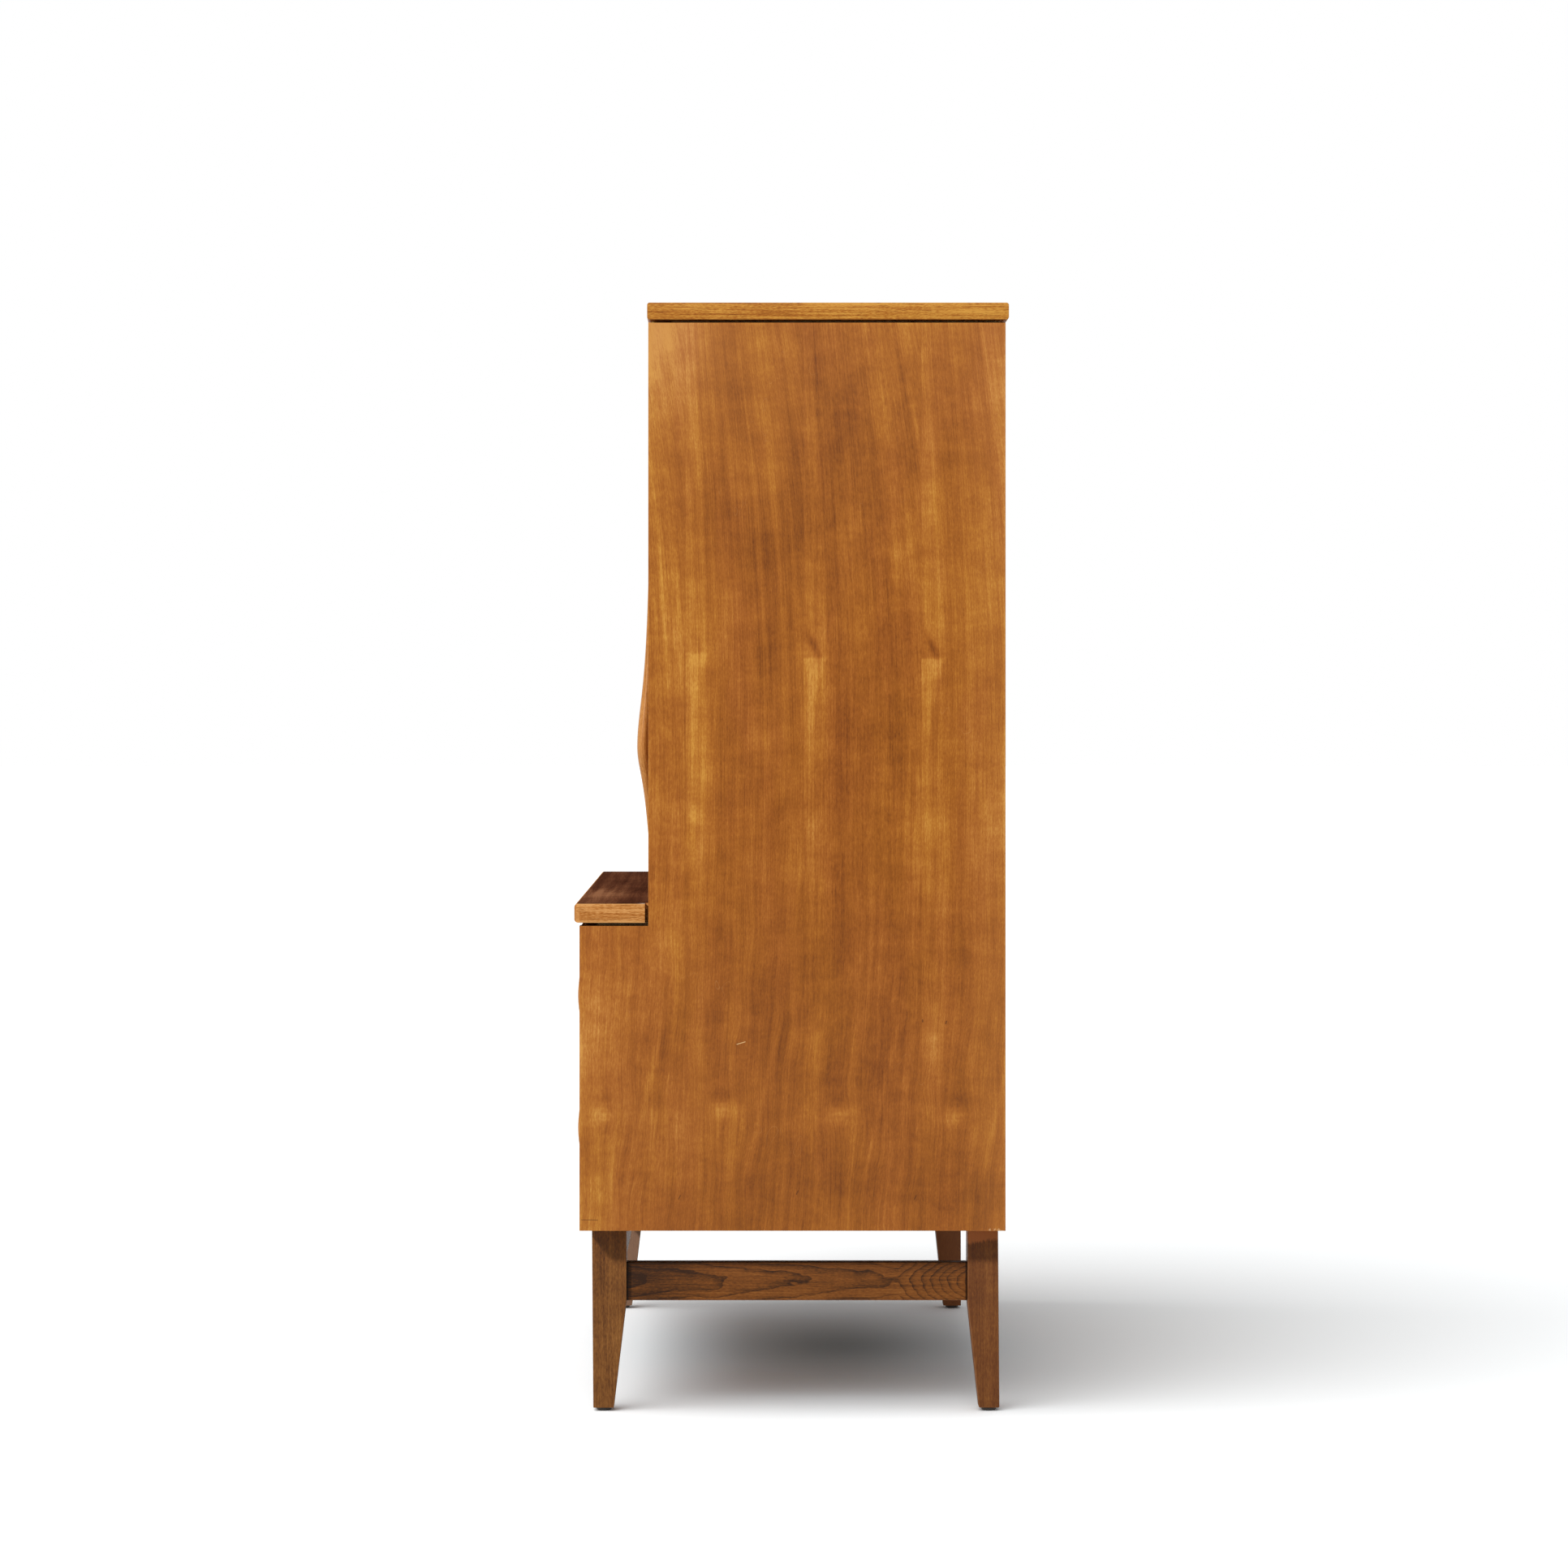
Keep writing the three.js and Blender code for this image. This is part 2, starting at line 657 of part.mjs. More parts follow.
// One drawer at the height of the lower one
function drawerGroup(name) {
  const frontLow = drawerFloor + drawerBottomGap;
  const frontHigh = frontLow + drawerFrontHeight;
  const boxHigh = frontHigh - drawerBoxDrop;
  const outer = innerSide - drawerBoxGap;
  const inner = outer - drawerBoardThickness;
  const boxBack = backFace - drawerBackGap;
  const backFront = boxBack - drawerBoardThickness;
  const bottomLow = boxLow + drawerGrooveRise;
  const bottomHigh = bottomLow + drawerBottomThickness;
  const grooveReach = inner + drawerGrooveDepth;
  const grooveFront = drawerFrontRear - drawerGrooveDepth;
  const grooveRear = backFront + drawerGrooveDepth;
  const groove = board(
    [-grooveReach, grooveReach],
    [grooveFront, grooveRear],
    [bottomLow - drawerGrooveFit, bottomHigh + drawerGrooveFit],
  );
  const notch = board(
    [-guideWidth / 2 - runFit, guideWidth / 2 + runFit],
    [backFront - cutOverrun, boxBack + cutOverrun],
    [boxLow - cutOverrun, guideHigh + runFit],
  );
  const front = board(
    [-innerSide + drawerSideGap, innerSide - drawerSideGap],
    [drawerFace, drawerFrontRear],
    [frontLow, frontHigh],
  );
  const back = board([-inner, inner], [backFront, boxBack], [boxLow, boxHigh]);
  const bottomReach = grooveReach - drawerGrooveFit;
  const bottom = board(
    [-bottomReach, bottomReach],
    [grooveFront + drawerGrooveFit, grooveRear - drawerGrooveFit],
    [bottomLow, bottomHigh],
  );
  const swellHeight = (frontLow + frontHigh) / 2 - drawerPullDrop;
  const pull = wholePull(drawerFace, {
    rise: drawerPullRise,
    swellHeight,
    spreadAbove: drawerPullSpread,
    spreadBelow: drawerPullSpread,
    reachAbove: frontHigh - drawerPullTipGap - swellHeight,
    reachBelow: swellHeight - frontLow - drawerPullTipGap,
    halfWidth: drawerPullHalfWidth,
    stemHalfWidth: drawerPullStemHalfWidth,
  });
  const pieces = [
    piece(`${name}_drawer_front`, cut(front, [groove]), materials.veneer),
    piece(`${name}_drawer_back`, cut(back, [groove, notch]), materials.boxWood),
    piece(`${name}_drawer_bottom`, bottom, materials.backBoard),
    piece(`${name}_drawer_pull`, pull, materials.pullWood),
  ];
  for (const [sideName, side] of Object.entries(sides)) {
    const wall = board(across(side, inner, outer), [drawerFrontRear, boxBack], [boxLow, boxHigh]);
    pieces.push(piece(`${name}_drawer_${sideName}_side`, cut(wall, [groove]), materials.boxWood));
  }
  return group(pieces);
}

// Rails that carry the upper drawer, and the guide down the middle of each drawer
function drawerFrame() {
  const upperFloor = drawerFloor + drawerPitch;
  const between = [-innerSide, innerSide];
  const railHeights = [upperFloor - railThickness, upperFloor];
  const railFront = drawerFrontRear + railSetback;
  const guide = (floor) => board(
    [-guideWidth / 2, guideWidth / 2],
    [drawerFrontRear + guideSetback, backFace],
    [floor, floor + guideHeight],
  );
  const frontRail = board(between, [railFront, railFront + railWidth], railHeights);
  const rearRail = board(between, [backFace - railWidth, backFace], railHeights);
  return group([
    piece("front_drawer_rail", frontRail, materials.boxWood),
    piece("rear_drawer_rail", rearRail, materials.boxWood),
    piece("lower_drawer_guide", guide(drawerFloor), materials.boxWood),
    piece("upper_drawer_guide", guide(upperFloor), materials.boxWood),
  ]);
}

// Where each leg stands: its outer and inner face across, its outer and inner face in depth
const legOuter = caseSide - legInset;
const legInner = legOuter - legWidth;
const legRows = {
  front: { outer: caseFront + frontLegSetback, inner: caseFront + frontLegSetback + frontLegDepth },
  rear: { outer: caseBack - rearLegSetback, inner: caseBack - rearLegSetback - rearLegDepth },
};
const stretcherTop = stretcherRise + stretcherHeight;
const sideStretcherOuter = legOuter - sideStretcherRecess;
const sideStretcherInner = sideStretcherOuter - stretcherThickness;
const frontStretcherFront = legRows.front.outer + frontStretcherRecess;
const frontStretcherRear = frontStretcherFront + stretcherThickness;

function boltPlace(side, row) {
  return [side * (legOuter + legInner) / 2, (row.outer + row.inner) / 2];
}

// The tenon of a stretcher, or with an allowance the mortise for it
function tenon(along, ends, middle, allowance) {
  const half = tenonThickness / 2 + allowance;
  const heights = [stretcherRise + tenonShoulder - allowance, stretcherTop - tenonShoulder + allowance];
  const spread = [middle - half, middle + half];
  const run = [ends[0] - allowance, ends[1] + allowance];
  return along === "x" ? board(run, spread, heights) : board(spread, run, heights);
}

const sideTenonMiddle = (sideStretcherOuter + sideStretcherInner) / 2;
const frontTenonMiddle = (frontStretcherFront + frontStretcherRear) / 2;
const sideTenonRun = [legRows.front.inner - tenonLength, legRows.rear.inner + tenonLength];
const frontTenonRun = [-legInner - tenonLength, legInner + tenonLength];

// A leg: square down to the stretcher, then drawn in on its two inner sides to a small foot
function leg(side, row) {
  const inward = Math.sign(row.inner - row.outer);
  const footOuter = row.outer + legFaceTaper;
  const footInner = footOuter + inward * footSize;
  const profile = polygon([
    [row.outer, caseBottom], [footOuter, glideHeight], [footInner, glideHeight],
    [row.inner, stretcherRise], [row.inner, caseBottom],
  ]);
  const face = polygon([
    [side * legOuter, caseBottom], [side * legOuter, glideHeight],
    [side * (legOuter - footSize), glideHeight],
    [side * legInner, stretcherRise], [side * legInner, caseBottom],
  ]);
  const margin = legFaceTaper + cutOverrun;
  const depths = [Math.min(row.outer, row.inner) - margin, Math.max(row.outer, row.inner) + margin];
  const blank = common(
    prism(profile, "x", ...across(side, legInner - cutOverrun, legOuter + cutOverrun)),
    prism(face, "y", ...depths),
  );
  const [boltX, boltY] = boltPlace(side, row);
  const cutters = [
    rod(boltRadius + boltFit, "z", caseBottom - boltInLeg - boltFit, caseBottom + cutOverrun, boltX, boltY),
    rod(
      glideShankRadius + glideFit,
      "z",
      glideHeight - cutOverrun,
      glideHeight + glideShankLength + glideFit,
      side * (legOuter - footSize / 2),
      footOuter + inward * footSize / 2,
    ),
    tenon("y", sideTenonRun, side * sideTenonMiddle, tenonFit),
  ];
  if (row === legRows.front) cutters.push(tenon("x", frontTenonRun, frontTenonMiddle, tenonFit));
  return cut(blank, cutters);
}

// A glide: a low dome with a flat where it meets the floor, and a shank up into the foot
function glide() {
  const profile = [
    [0, 0], [glideFlatRadius, 0], [glideRadius, glideRimHeight], [glideRadius, glideHeight],
    [glideShankRadius, glideHeight], [glideShankRadius, glideHeight + glideShankLength],
    [0, glideHeight + glideShankLength],
  ];
  const turned = new THREE.LatheGeometry(profile.map(([r, z]) => new THREE.Vector2(r, z)), roundSides);
  return geometryOf(solid(turned.rotateX(Math.PI / 2)));
}

function baseGroup() {
  const pieces = [];
  for (const [rowName, row] of Object.entries(legRows)) {
    const inward = Math.sign(row.inner - row.outer);
    for (const [sideName, side] of Object.entries(sides)) {
      const [boltX, boltY] = boltPlace(side, row);
      const bolt = rod(boltRadius, "z", caseBottom - boltInLeg, caseBottom + boltInCase, boltX, boltY);
      const foot = piece(`${rowName}_${sideName}_glide`, glide(), materials.glide);
      foot.position.set(
        side * (legOuter - footSize / 2),
        row.outer + legFaceTaper + inward * footSize / 2,
        0,
      );
      pieces.push(
        piece(`${rowName}_${sideName}_leg`, leg(side, row), materials.darkWood),
        piece(`${rowName}_${sideName}_leg_bolt`, bolt, materials.steel),
        foot,
      );
    }
  }
  for (const [sideName, side] of Object.entries(sides)) {
    const rail = join([
      board(
        across(side, sideStretcherInner, sideStretcherOuter),
        [legRows.front.inner, legRows.rear.inner],
        [stretcherRise, stretcherTop],
      ),
      tenon("y", sideTenonRun, side * sideTenonMiddle, 0),
    ]);
    pieces.push(piece(`${sideName}_side_stretcher`, rail, materials.darkWood));
  }
  const frontRail = join([
    board([-legInner, legInner], [frontStretcherFront, frontStretcherRear], [stretcherRise, stretcherTop]),
    tenon("x", frontTenonRun, frontTenonMiddle, 0),
  ]);
  pieces.push(piece("front_stretcher", frontRail, materials.darkWood));
  return group(pieces);
}

const boltPlaces = Object.values(legRows).flatMap(
  (row) => Object.values(sides).map((side) => boltPlace(side, row)),
);
const upperDrawer = drawerGroup("upper");
upperDrawer.position.z = drawerPitch;

const highboy = group([
  caseGroup(boltPlaces),
  baseGroup(),
  ...Object.entries(sides).map(([sideName, side]) => doorGroup(sideName, side)),
  ...Object.entries(sides).map(([sideName, side]) => caseLeaves(sideName, side)),
  catchPiece(),
  drawerGroup("lower"),
  upperDrawer,
  drawerFrame(),
]);

export default highboy;
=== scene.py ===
# Highboy: the finish of every surface, the sculpted pulls, the small fittings, the light and the camera.
# Metres, +Z up, the front faces -Y. The photograph looks at the right-hand side, along -X.

import json
import math

import bmesh
import bpy
import numpy as np
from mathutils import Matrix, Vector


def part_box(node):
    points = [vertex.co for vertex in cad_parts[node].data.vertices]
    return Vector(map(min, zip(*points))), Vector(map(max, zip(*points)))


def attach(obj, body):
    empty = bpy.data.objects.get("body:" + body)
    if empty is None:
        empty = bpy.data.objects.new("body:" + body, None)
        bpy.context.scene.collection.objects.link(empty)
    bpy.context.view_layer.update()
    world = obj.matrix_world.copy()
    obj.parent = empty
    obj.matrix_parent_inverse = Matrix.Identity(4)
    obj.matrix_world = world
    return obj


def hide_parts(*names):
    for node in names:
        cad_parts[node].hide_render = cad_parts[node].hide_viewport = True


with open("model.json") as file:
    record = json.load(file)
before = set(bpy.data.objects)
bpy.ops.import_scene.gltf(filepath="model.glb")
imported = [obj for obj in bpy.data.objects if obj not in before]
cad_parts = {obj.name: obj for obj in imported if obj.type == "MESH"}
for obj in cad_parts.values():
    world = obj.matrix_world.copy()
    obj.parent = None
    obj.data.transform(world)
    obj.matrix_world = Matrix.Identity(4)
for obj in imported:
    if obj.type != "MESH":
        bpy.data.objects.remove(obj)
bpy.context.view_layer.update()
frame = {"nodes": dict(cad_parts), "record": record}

BODY_OF = {node: body for body, names in frame["record"]["behaviour"]["bodies"].items() for node in names}
SLOT_OF = {part["node"]: part["material_slot"] for part in frame["record"]["subparts"]}

# Words in the names of pieces, and on which side of the middle the left and the right ones are
SIDES = {"left": -1, "right": 1}
ROWS = ("front", "rear")
LEVELS = ("lower", "upper")
HINGE_LEAVES = ("bottom_door", "bottom_case", "top_door", "top_case")

# Camera: level, looking along -X, shifted so that the uprights stay upright
CAMERA_PLACE = (5.503, -0.0583, 0.8495)
CAMERA_LENS = 95.5
CAMERA_SENSOR = 36.0
CAMERA_SHIFT = (0.0298, -0.0458)

# Light: a key from the camera's side, the front and above, and an even sky. The key is as small as the edge
# of shade on the front leg asks for. The floor has a wider and higher lamp, so that the shadow on it is as
# soft as in the photograph
KEY_DIRECTION = (-0.686, 0.4775, -0.549)
KEY_STRENGTH = 2.4
KEY_SPREAD = math.radians(5)
FLOOR_KEY_DIRECTION = (-0.44, 0.44, -0.78)
FLOOR_KEY_STRENGTH = 2.95
FLOOR_KEY_SPREAD = math.radians(68)
SKY_STRENGTH = 0.43
FLOOR_RADIUS = 60.0
FLOOR_SIDES = 96
# The floor's paper looks white to the camera, a little cool against the warm light from the underside of the
# case, and sends less light back to the object
FLOOR_SEEN = (1.03, 1.05, 1.058)
FLOOR_BOUNCE = 0.5
# Under the case the paper is painted cooler, which takes back the warm light from the wood, and a painted
# shadow deepens the middle of the shadow
UNDER_SEEN = (0.87, 1.06, 1.15)
UNDER_PLACE = (-0.05, 0.06)
UNDER_REACH = (0.36, 0.2)
CORE_PLACE = (-0.08, 0.085)
CORE_REACH = (0.2, 0.15)
CORE_DEPTH = 0.5

# Faces of the case that patterns and fittings start from
side_low, side_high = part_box("right_side_panel")
stretcher_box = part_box("right_side_stretcher")
front_leg_low, front_leg_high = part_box("front_right_leg")
rear_leg_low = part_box("rear_right_leg")[0]
front_bar_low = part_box("front_stretcher")[0]
ledge_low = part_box("ledge_slab")[0]
door_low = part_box("right_door")[0]
LEDGE_REVEAL = 0.004
DOOR_RECESS = 0.001
CASE_SIDE = side_high.x
CASE_FRONT = side_low.y
CASE_BACK = side_high.y
PANEL_TOP = side_high.z
STEP_HEIGHT = ledge_low.z - LEDGE_REVEAL
CUPBOARD_FRONT = door_low.y - DOOR_RECESS


def mid_height(box):
    """The height halfway up a box, from its two corners."""
    return (box[0].z + box[1].z) / 2


def tint(red, green, blue):
    """A colour as the eye reads it, from 0 to 255, as the linear numbers that a shader takes."""
    shares = np.array([red, green, blue]) / 255
    linear = np.where(shares <= 0.04045, shares / 12.92, ((shares + 0.055) / 1.055) ** 2.4)
    return (*linear.tolist(), 1.0)


def tones(*colors, places=(0.0, 0.3, 0.5, 0.7, 1.0)):
    """Stops of a ramp from dark to light: a place from 0 to 1 and a colour each."""
    return [(place, tint(*color)) for place, color in zip(places, colors)]


# Shader nodes written as sums


def sum_method(operation):
    """A method of a field that adds one math node."""
    return lambda field, *others: field.math(operation, *others)


class Field:
    """A value at each point of a surface, held by a shader node's output. Sums of fields add more nodes."""

    def __init__(self, tree, socket):
        self.tree = tree
        self.socket = socket

    def math(self, operation, *others):
        feeds = dict(enumerate((self, *others)))
        return make(self.tree, "ShaderNodeMath", feeds, operation=operation)

    __add__ = __radd__ = sum_method("ADD")
    __sub__ = sum_method("SUBTRACT")
    __mul__ = __rmul__ = sum_method("MULTIPLY")
    __truediv__ = sum_method("DIVIDE")
    absolute = sum_method("ABSOLUTE")
    greatest = sum_method("MAXIMUM")
    least = sum_method("MINIMUM")
    exponential = sum_method("EXPONENT")

    def __rsub__(self, other):
        return self * -1.0 + other

    def step(self, low, high):
        """Rises smoothly from 0 at low to 1 at high, or falls where low is the greater."""
        feeds = {0: self, 1: min(low, high), 2: max(low, high)}
        rising = make(self.tree, "ShaderNodeMapRange", feeds, interpolation_type="SMOOTHSTEP")
        return rising if low < high else 1.0 - rising

    def hump(self, width):
        """A soft hump of height 1 where the value is 0, which has nearly gone at twice the width."""
        share = self / width
        return (share * share * -1.0).exponential()

    def ramp(self, *stops):
        """Colours along the value: each stop is a place from 0 to 1 and a colour."""
        node = self.tree.nodes.new("ShaderNodeValToRGB")
        self.tree.links.new(self.socket, node.inputs[0])
        while len(node.color_ramp.elements) < len(stops):
            node.color_ramp.elements.new(0.5)
        for element, (place, color) in zip(node.color_ramp.elements, stops):
            element.position = place
            element.color = color
        return Field(self.tree, node.outputs[0])


def feed(node, feeds):
    """Feeds each named input of a node by a field, or sets it to a plain value."""
    for key, value in feeds.items():
        if isinstance(value, Field):
            value.tree.links.new(value.socket, node.inputs[key])
        else:
            node.inputs[key].default_value = value


def make(tree, kind, feeds, output=0, **settings):
    """One shader node with its settings and its inputs, and the field of one of its outputs."""
    node = tree.nodes.new(kind)
    for name, value in settings.items():
        setattr(node, name, value)
    feed(node, feeds)
    return Field(tree, node.outputs[output])


def split(field):
    """The three numbers of a vector."""
    node = field.tree.nodes.new("ShaderNodeSeparateXYZ")
    field.tree.links.new(field.socket, node.inputs[0])
    return [Field(field.tree, socket) for socket in node.outputs]


def triple(tree, x, y, z):
    """A vector from three fields or numbers."""
    return make(tree, "ShaderNodeCombineXYZ", {0: x, 1: y, 2: z})


def noise(place, waves, detail=2.0, roughness=0.5):
    """Soft noise about 0.5, with so many waves in a metre, the same or its own number along each axis."""
    waves = waves if isinstance(waves, tuple) else (waves, waves, waves)
    spread = make(place.tree, "ShaderNodeVectorMath", {0: place, 1: waves}, operation="MULTIPLY")
    feeds = {"Vector": spread, "Scale": 1.0, "Detail": detail, "Roughness": roughness}
    return make(place.tree, "ShaderNodeTexNoise", feeds)


def blend(share, first, second):
    """One colour turning into another as the share goes from 0 to 1."""
    feeds = {0: share, 6: first, 7: second}
    return make(share.tree, "ShaderNodeMix", feeds, output=2, data_type="RGBA", clamp_factor=True)


def shared(name, entries, exits, work):
    """A node group with named inputs and outputs, built once: work gives the outputs from the inputs."""
    tree = bpy.data.node_groups.new(name, "ShaderNodeTree")
    for title, value in entries.items():
        kind = "NodeSocketVector" if isinstance(value, tuple) else "NodeSocketFloat"
        tree.interface.new_socket(title, in_out="INPUT", socket_type=kind).default_value = value
    for title in exits:
        tree.interface.new_socket(title, in_out="OUTPUT", socket_type="NodeSocketFloat")
    door = tree.nodes.new("NodeGroupInput")
    way_out = tree.nodes.new("NodeGroupOutput")
    made = work({title: Field(tree, door.outputs[title]) for title in entries})
    for title, field in zip(exits, made):
        tree.links.new(field.socket, way_out.inputs[title])
    return tree


def use(tree, group, **feeds):
    """Places a shared group in a material and gives its outputs by name."""
    node = tree.nodes.new("ShaderNodeGroup")
    node.node_tree = group
    feed(node, feeds)
    return {socket.name: Field(tree, socket) for socket in node.outputs}


# Noises of straight grain: waves in a metre along and across it, and the noise's detail and roughness
GRAIN_NOISES = {
    "Bands": ((0.9, 26.0, 26.0), 2.0, 0.5),
    "Streaks": ((2.4, 120.0, 120.0), 3.0, 0.6),
    "Fibres": ((16.0, 620.0, 620.0), 2.0, 0.6),
    "Flecks": ((210.0, 700.0, 700.0), 2.0, 0.6),
    "Clouds": ((7.0, 14.0, 14.0), 4.0, 0.55),
    "Ripple": ((60.0, 24.0, 24.0), 2.0, 0.5),
}
DRIFT_WAVES = (1.7, 9.0, 1.0)
PORE_WAVES = (70.0, 900.0, 900.0)
FLECK_SHARE = 1.1
SEED_REACH = 3.7


def grain_work(given):
    """Straight grain: noise at several widths, drawn out along the grain and wandering a little across it.
    The tone is 0.5 plus bands, streaks, fibres, flecks, clouds and ripples. Pores are the crests of a fine
    noise, as short dashes."""
    along, across, depth = split(given["Place"])
    tree = along.tree
    shift = given["Seed"] * SEED_REACH
    along = along + shift
    drift = noise(triple(tree, along, across * 0.3, shift), DRIFT_WAVES) - 0.5
    across = across + drift * given["Wander"]
    place = triple(tree, along, across, depth + shift)
    part = {title: noise(place, *waves) - 0.5 for title, waves in GRAIN_NOISES.items()}
    fine = part["Fibres"] + part["Flecks"] * FLECK_SHARE
    tone = part["Bands"] * given["Bands"] + part["Streaks"] * given["Streaks"] + fine * given["Fibres"]
    tone = tone + part["Clouds"] * given["Clouds"] + part["Ripple"] * given["Ripple"] + 0.5
    pores = noise(place, PORE_WAVES, 1.0).step(0.62, 0.76)
    return tone, pores, fine + 0.5


def rings_work(given):
    """Growth rings: the distance from the pith line, in ring widths. Each ring darkens towards its late wood
    and then starts light again. Where the pith leans, a flat face cuts the rings in arches."""
    along, across, depth = split(given["Place"])
    tree = along.tree
    wobble = noise(given["Place"], (3.0, 22.0, 22.0), 2.0) - 0.5
    near = depth + given["Pith"] + along * given["Lean"]
    radius = (across * across + near * near).math("SQRT") + wobble * given["Wobble"]
    count = radius / given["Width"]
    share = count.math("FRACT")
    late = share.math("POWER", given["Sharpness"]) * share.step(1.0, 0.94)
    strength = noise(triple(tree, count.math("FLOOR"), 0.0, 0.0), (0.73, 1.0, 1.0), 0.0)
    return late, strength


def leaves_work(given):
    """Veneer leaves laid side by side: the distance from the leaf's own seam, the place along it, which slips
    a little from leaf to leaf, the leaf's number, and a thin line where two leaves meet."""
    count = (given["Across"] - given["Start"]) / given["Width"]
    leaf = count.math("FLOOR")
    share = count - leaf
    within = share * given["Width"]
    along = given["Along"] + leaf.math("SINE").absolute() * given["Slip"]
    edge = within.least((1.0 - share) * given["Width"])
    return within, along, leaf, edge.step(0.0012, 0.0003)


def arris_work(given):
    """Where the surface turns, broken up by noise: the greatest part of the normal is below 1 there."""
    x, y, z = split(given["Normal"])
    flat = x.absolute().greatest(y.absolute()).greatest(z.absolute())
    rubbed = noise(given["Place"], 45.0, 3.0, 0.6).step(0.35, 0.62)
    return (flat.step(0.995, 0.9) * (rubbed * 0.75 + 0.25),)


def marks_work(given):
    """Fine wear: hairlines, where a slow noise crosses its middle value, here and there, and dust."""
    place = given["Place"]
    turned = noise(place, (21.0, 34.0, 17.0), 1.0) - 0.5
    kept = noise(place, (9.0, 8.0, 11.0), 1.0).step(0.6, 0.7)
    hairline = turned.absolute().step(0.0022, 0.0006) * kept
    specks = noise(place, 520.0, 1.0).step(0.73, 0.8)
    patches = noise(place, 14.0, 3.0, 0.6).step(0.42, 0.68)
    return hairline, specks * patches


GRAIN = shared(
    "straight_grain",
    {
        "Place": (0.0, 0.0, 0.0), "Seed": 0.0, "Wander": 0.02,
        "Bands": 0.9, "Streaks": 0.5, "Fibres": 0.5, "Clouds": 0.4, "Ripple": 0.2,
    },
    ["Tone", "Pores", "Fibre"],
    grain_work,
)
RINGS = shared(
    "growth_rings",
    {
        "Place": (0.0, 0.0, 0.0), "Pith": 0.05, "Lean": 0.1,
        "Width": 0.002, "Wobble": 0.003, "Sharpness": 2.5,
    },
    ["Late", "Strength"],
    rings_work,
)
LEAVES = shared(
    "veneer_leaves",
    {"Across": 0.0, "Along": 0.0, "Start": 0.0, "Width": 0.15, "Slip": 0.004},
    ["Within", "Along", "Leaf", "Seam"],
    leaves_work,
)
ARRIS = shared(
    "rubbed_arris", {"Normal": (0.0, 0.0, 1.0), "Place": (0.0, 0.0, 0.0)}, ["Rubbed"], arris_work
)
MARKS = shared("fine_marks", {"Place": (0.0, 0.0, 0.0)}, ["Hairline", "Dust"], marks_work)


WOOD_SHINE = 0.15
PLAIN_SHINE = 0.5


class Surface:
    """A material in the making: the place and the normal on the piece, and the shader for the finish."""

    def __init__(self, name):
        self.material = bpy.data.materials.new(name)
        self.material.use_nodes = True
        self.tree = self.material.node_tree
        self.shader = self.tree.nodes["Principled BSDF"]
        coordinates = self.tree.nodes.new("ShaderNodeTexCoord")
        self.place = Field(self.tree, coordinates.outputs["Object"])
        self.normal = Field(self.tree, coordinates.outputs["Normal"])
        self.x, self.y, self.z = split(self.place)
        self.nx, self.ny, self.nz = split(self.normal)
        self.rubbed = use(self.tree, ARRIS, Normal=self.normal, Place=self.place)["Rubbed"]

    def use(self, group, **feeds):
        return use(self.tree, group, **feeds)

    def triple(self, x, y, z):
        return triple(self.tree, x, y, z)

    def finish(self, color, roughness, height, depth, shine=WOOD_SHINE, metallic=0.0):
        """Feeds the shader: colour, roughness, height in shares of a depth, and the shine of the whole."""
        bump = make(self.tree, "ShaderNodeBump", {"Strength": 1.0, "Distance": depth, "Height": height})
        feed(self.shader, {"Base Color": color, "Roughness": roughness, "Normal": bump})
        feed(self.shader, {"Specular IOR Level": shine, "Metallic": metallic})
        return self.material


def stroke(across, along, start, end, width):
    """A short straight mark on a face: 1 within the width of the line from start to end, and 0 beyond it."""
    run = (end[0] - start[0], end[1] - start[1])
    squared = run[0] ** 2 + run[1] ** 2
    from_start = (across - start[0], along - start[1])
    share = ((from_start[0] * run[0] + from_start[1] * run[1]) / squared).greatest(0.0).least(1.0)
    off_across = from_start[0] - share * run[0]
    off_along = from_start[1] - share * run[1]
    off = (off_across * off_across + off_along * off_along).math("SQRT")
    return off.step(width, width * 0.4)


def oval(across, along, center, size):
    """A soft oval spot of height 1 at its centre, which has nearly gone at twice its size."""
    first = (across - center[0]) / size[0]
    second = (along - center[1]) / size[1]
    return ((first * first + second * second) * -1.0).exponential()


def spots(across, along, table):
    """The sum of soft oval spots: each has a centre, a size and a strength."""
    total = 0.0
    for center, size, strength in table:
        total = oval(across, along, center, size) * strength + total
    return total


HONEY = tones((110, 56, 10), (143, 80, 20), (161, 94, 28), (179, 113, 38), (208, 149, 62))
RUSSET = tones((108, 50, 16), (142, 74, 28), (160, 88, 38), (177, 106, 54), (206, 142, 88))
# Painted shade: the ledge's top is darker than its wood, as it looks at a grazing angle
SHADED_FACE = tones((54, 28, 18), (76, 44, 30), (93, 56, 39), (114, 73, 50), (156, 110, 78))
TAN_EDGE = tones((112, 60, 20), (148, 86, 34), (168, 103, 46), (186, 121, 60), (212, 154, 92))
WALNUT = tones((66, 36, 15), (98, 59, 26), (118, 74, 34), (134, 88, 42), (158, 108, 58))
PULL_TONES = tones((130, 76, 30), (176, 114, 52), (202, 140, 74), (216, 158, 92), (230, 182, 118))
PALE = tones((150, 116, 76), (182, 148, 102), (200, 167, 118), (212, 182, 134), (226, 200, 156))
STRETCHER_TONES = tones(
    (46, 24, 8), (84, 48, 17), (119, 69, 26), (136, 84, 36), (162, 110, 58), places=(0.0, 0.25, 0.5, 0.7, 1.0)
)

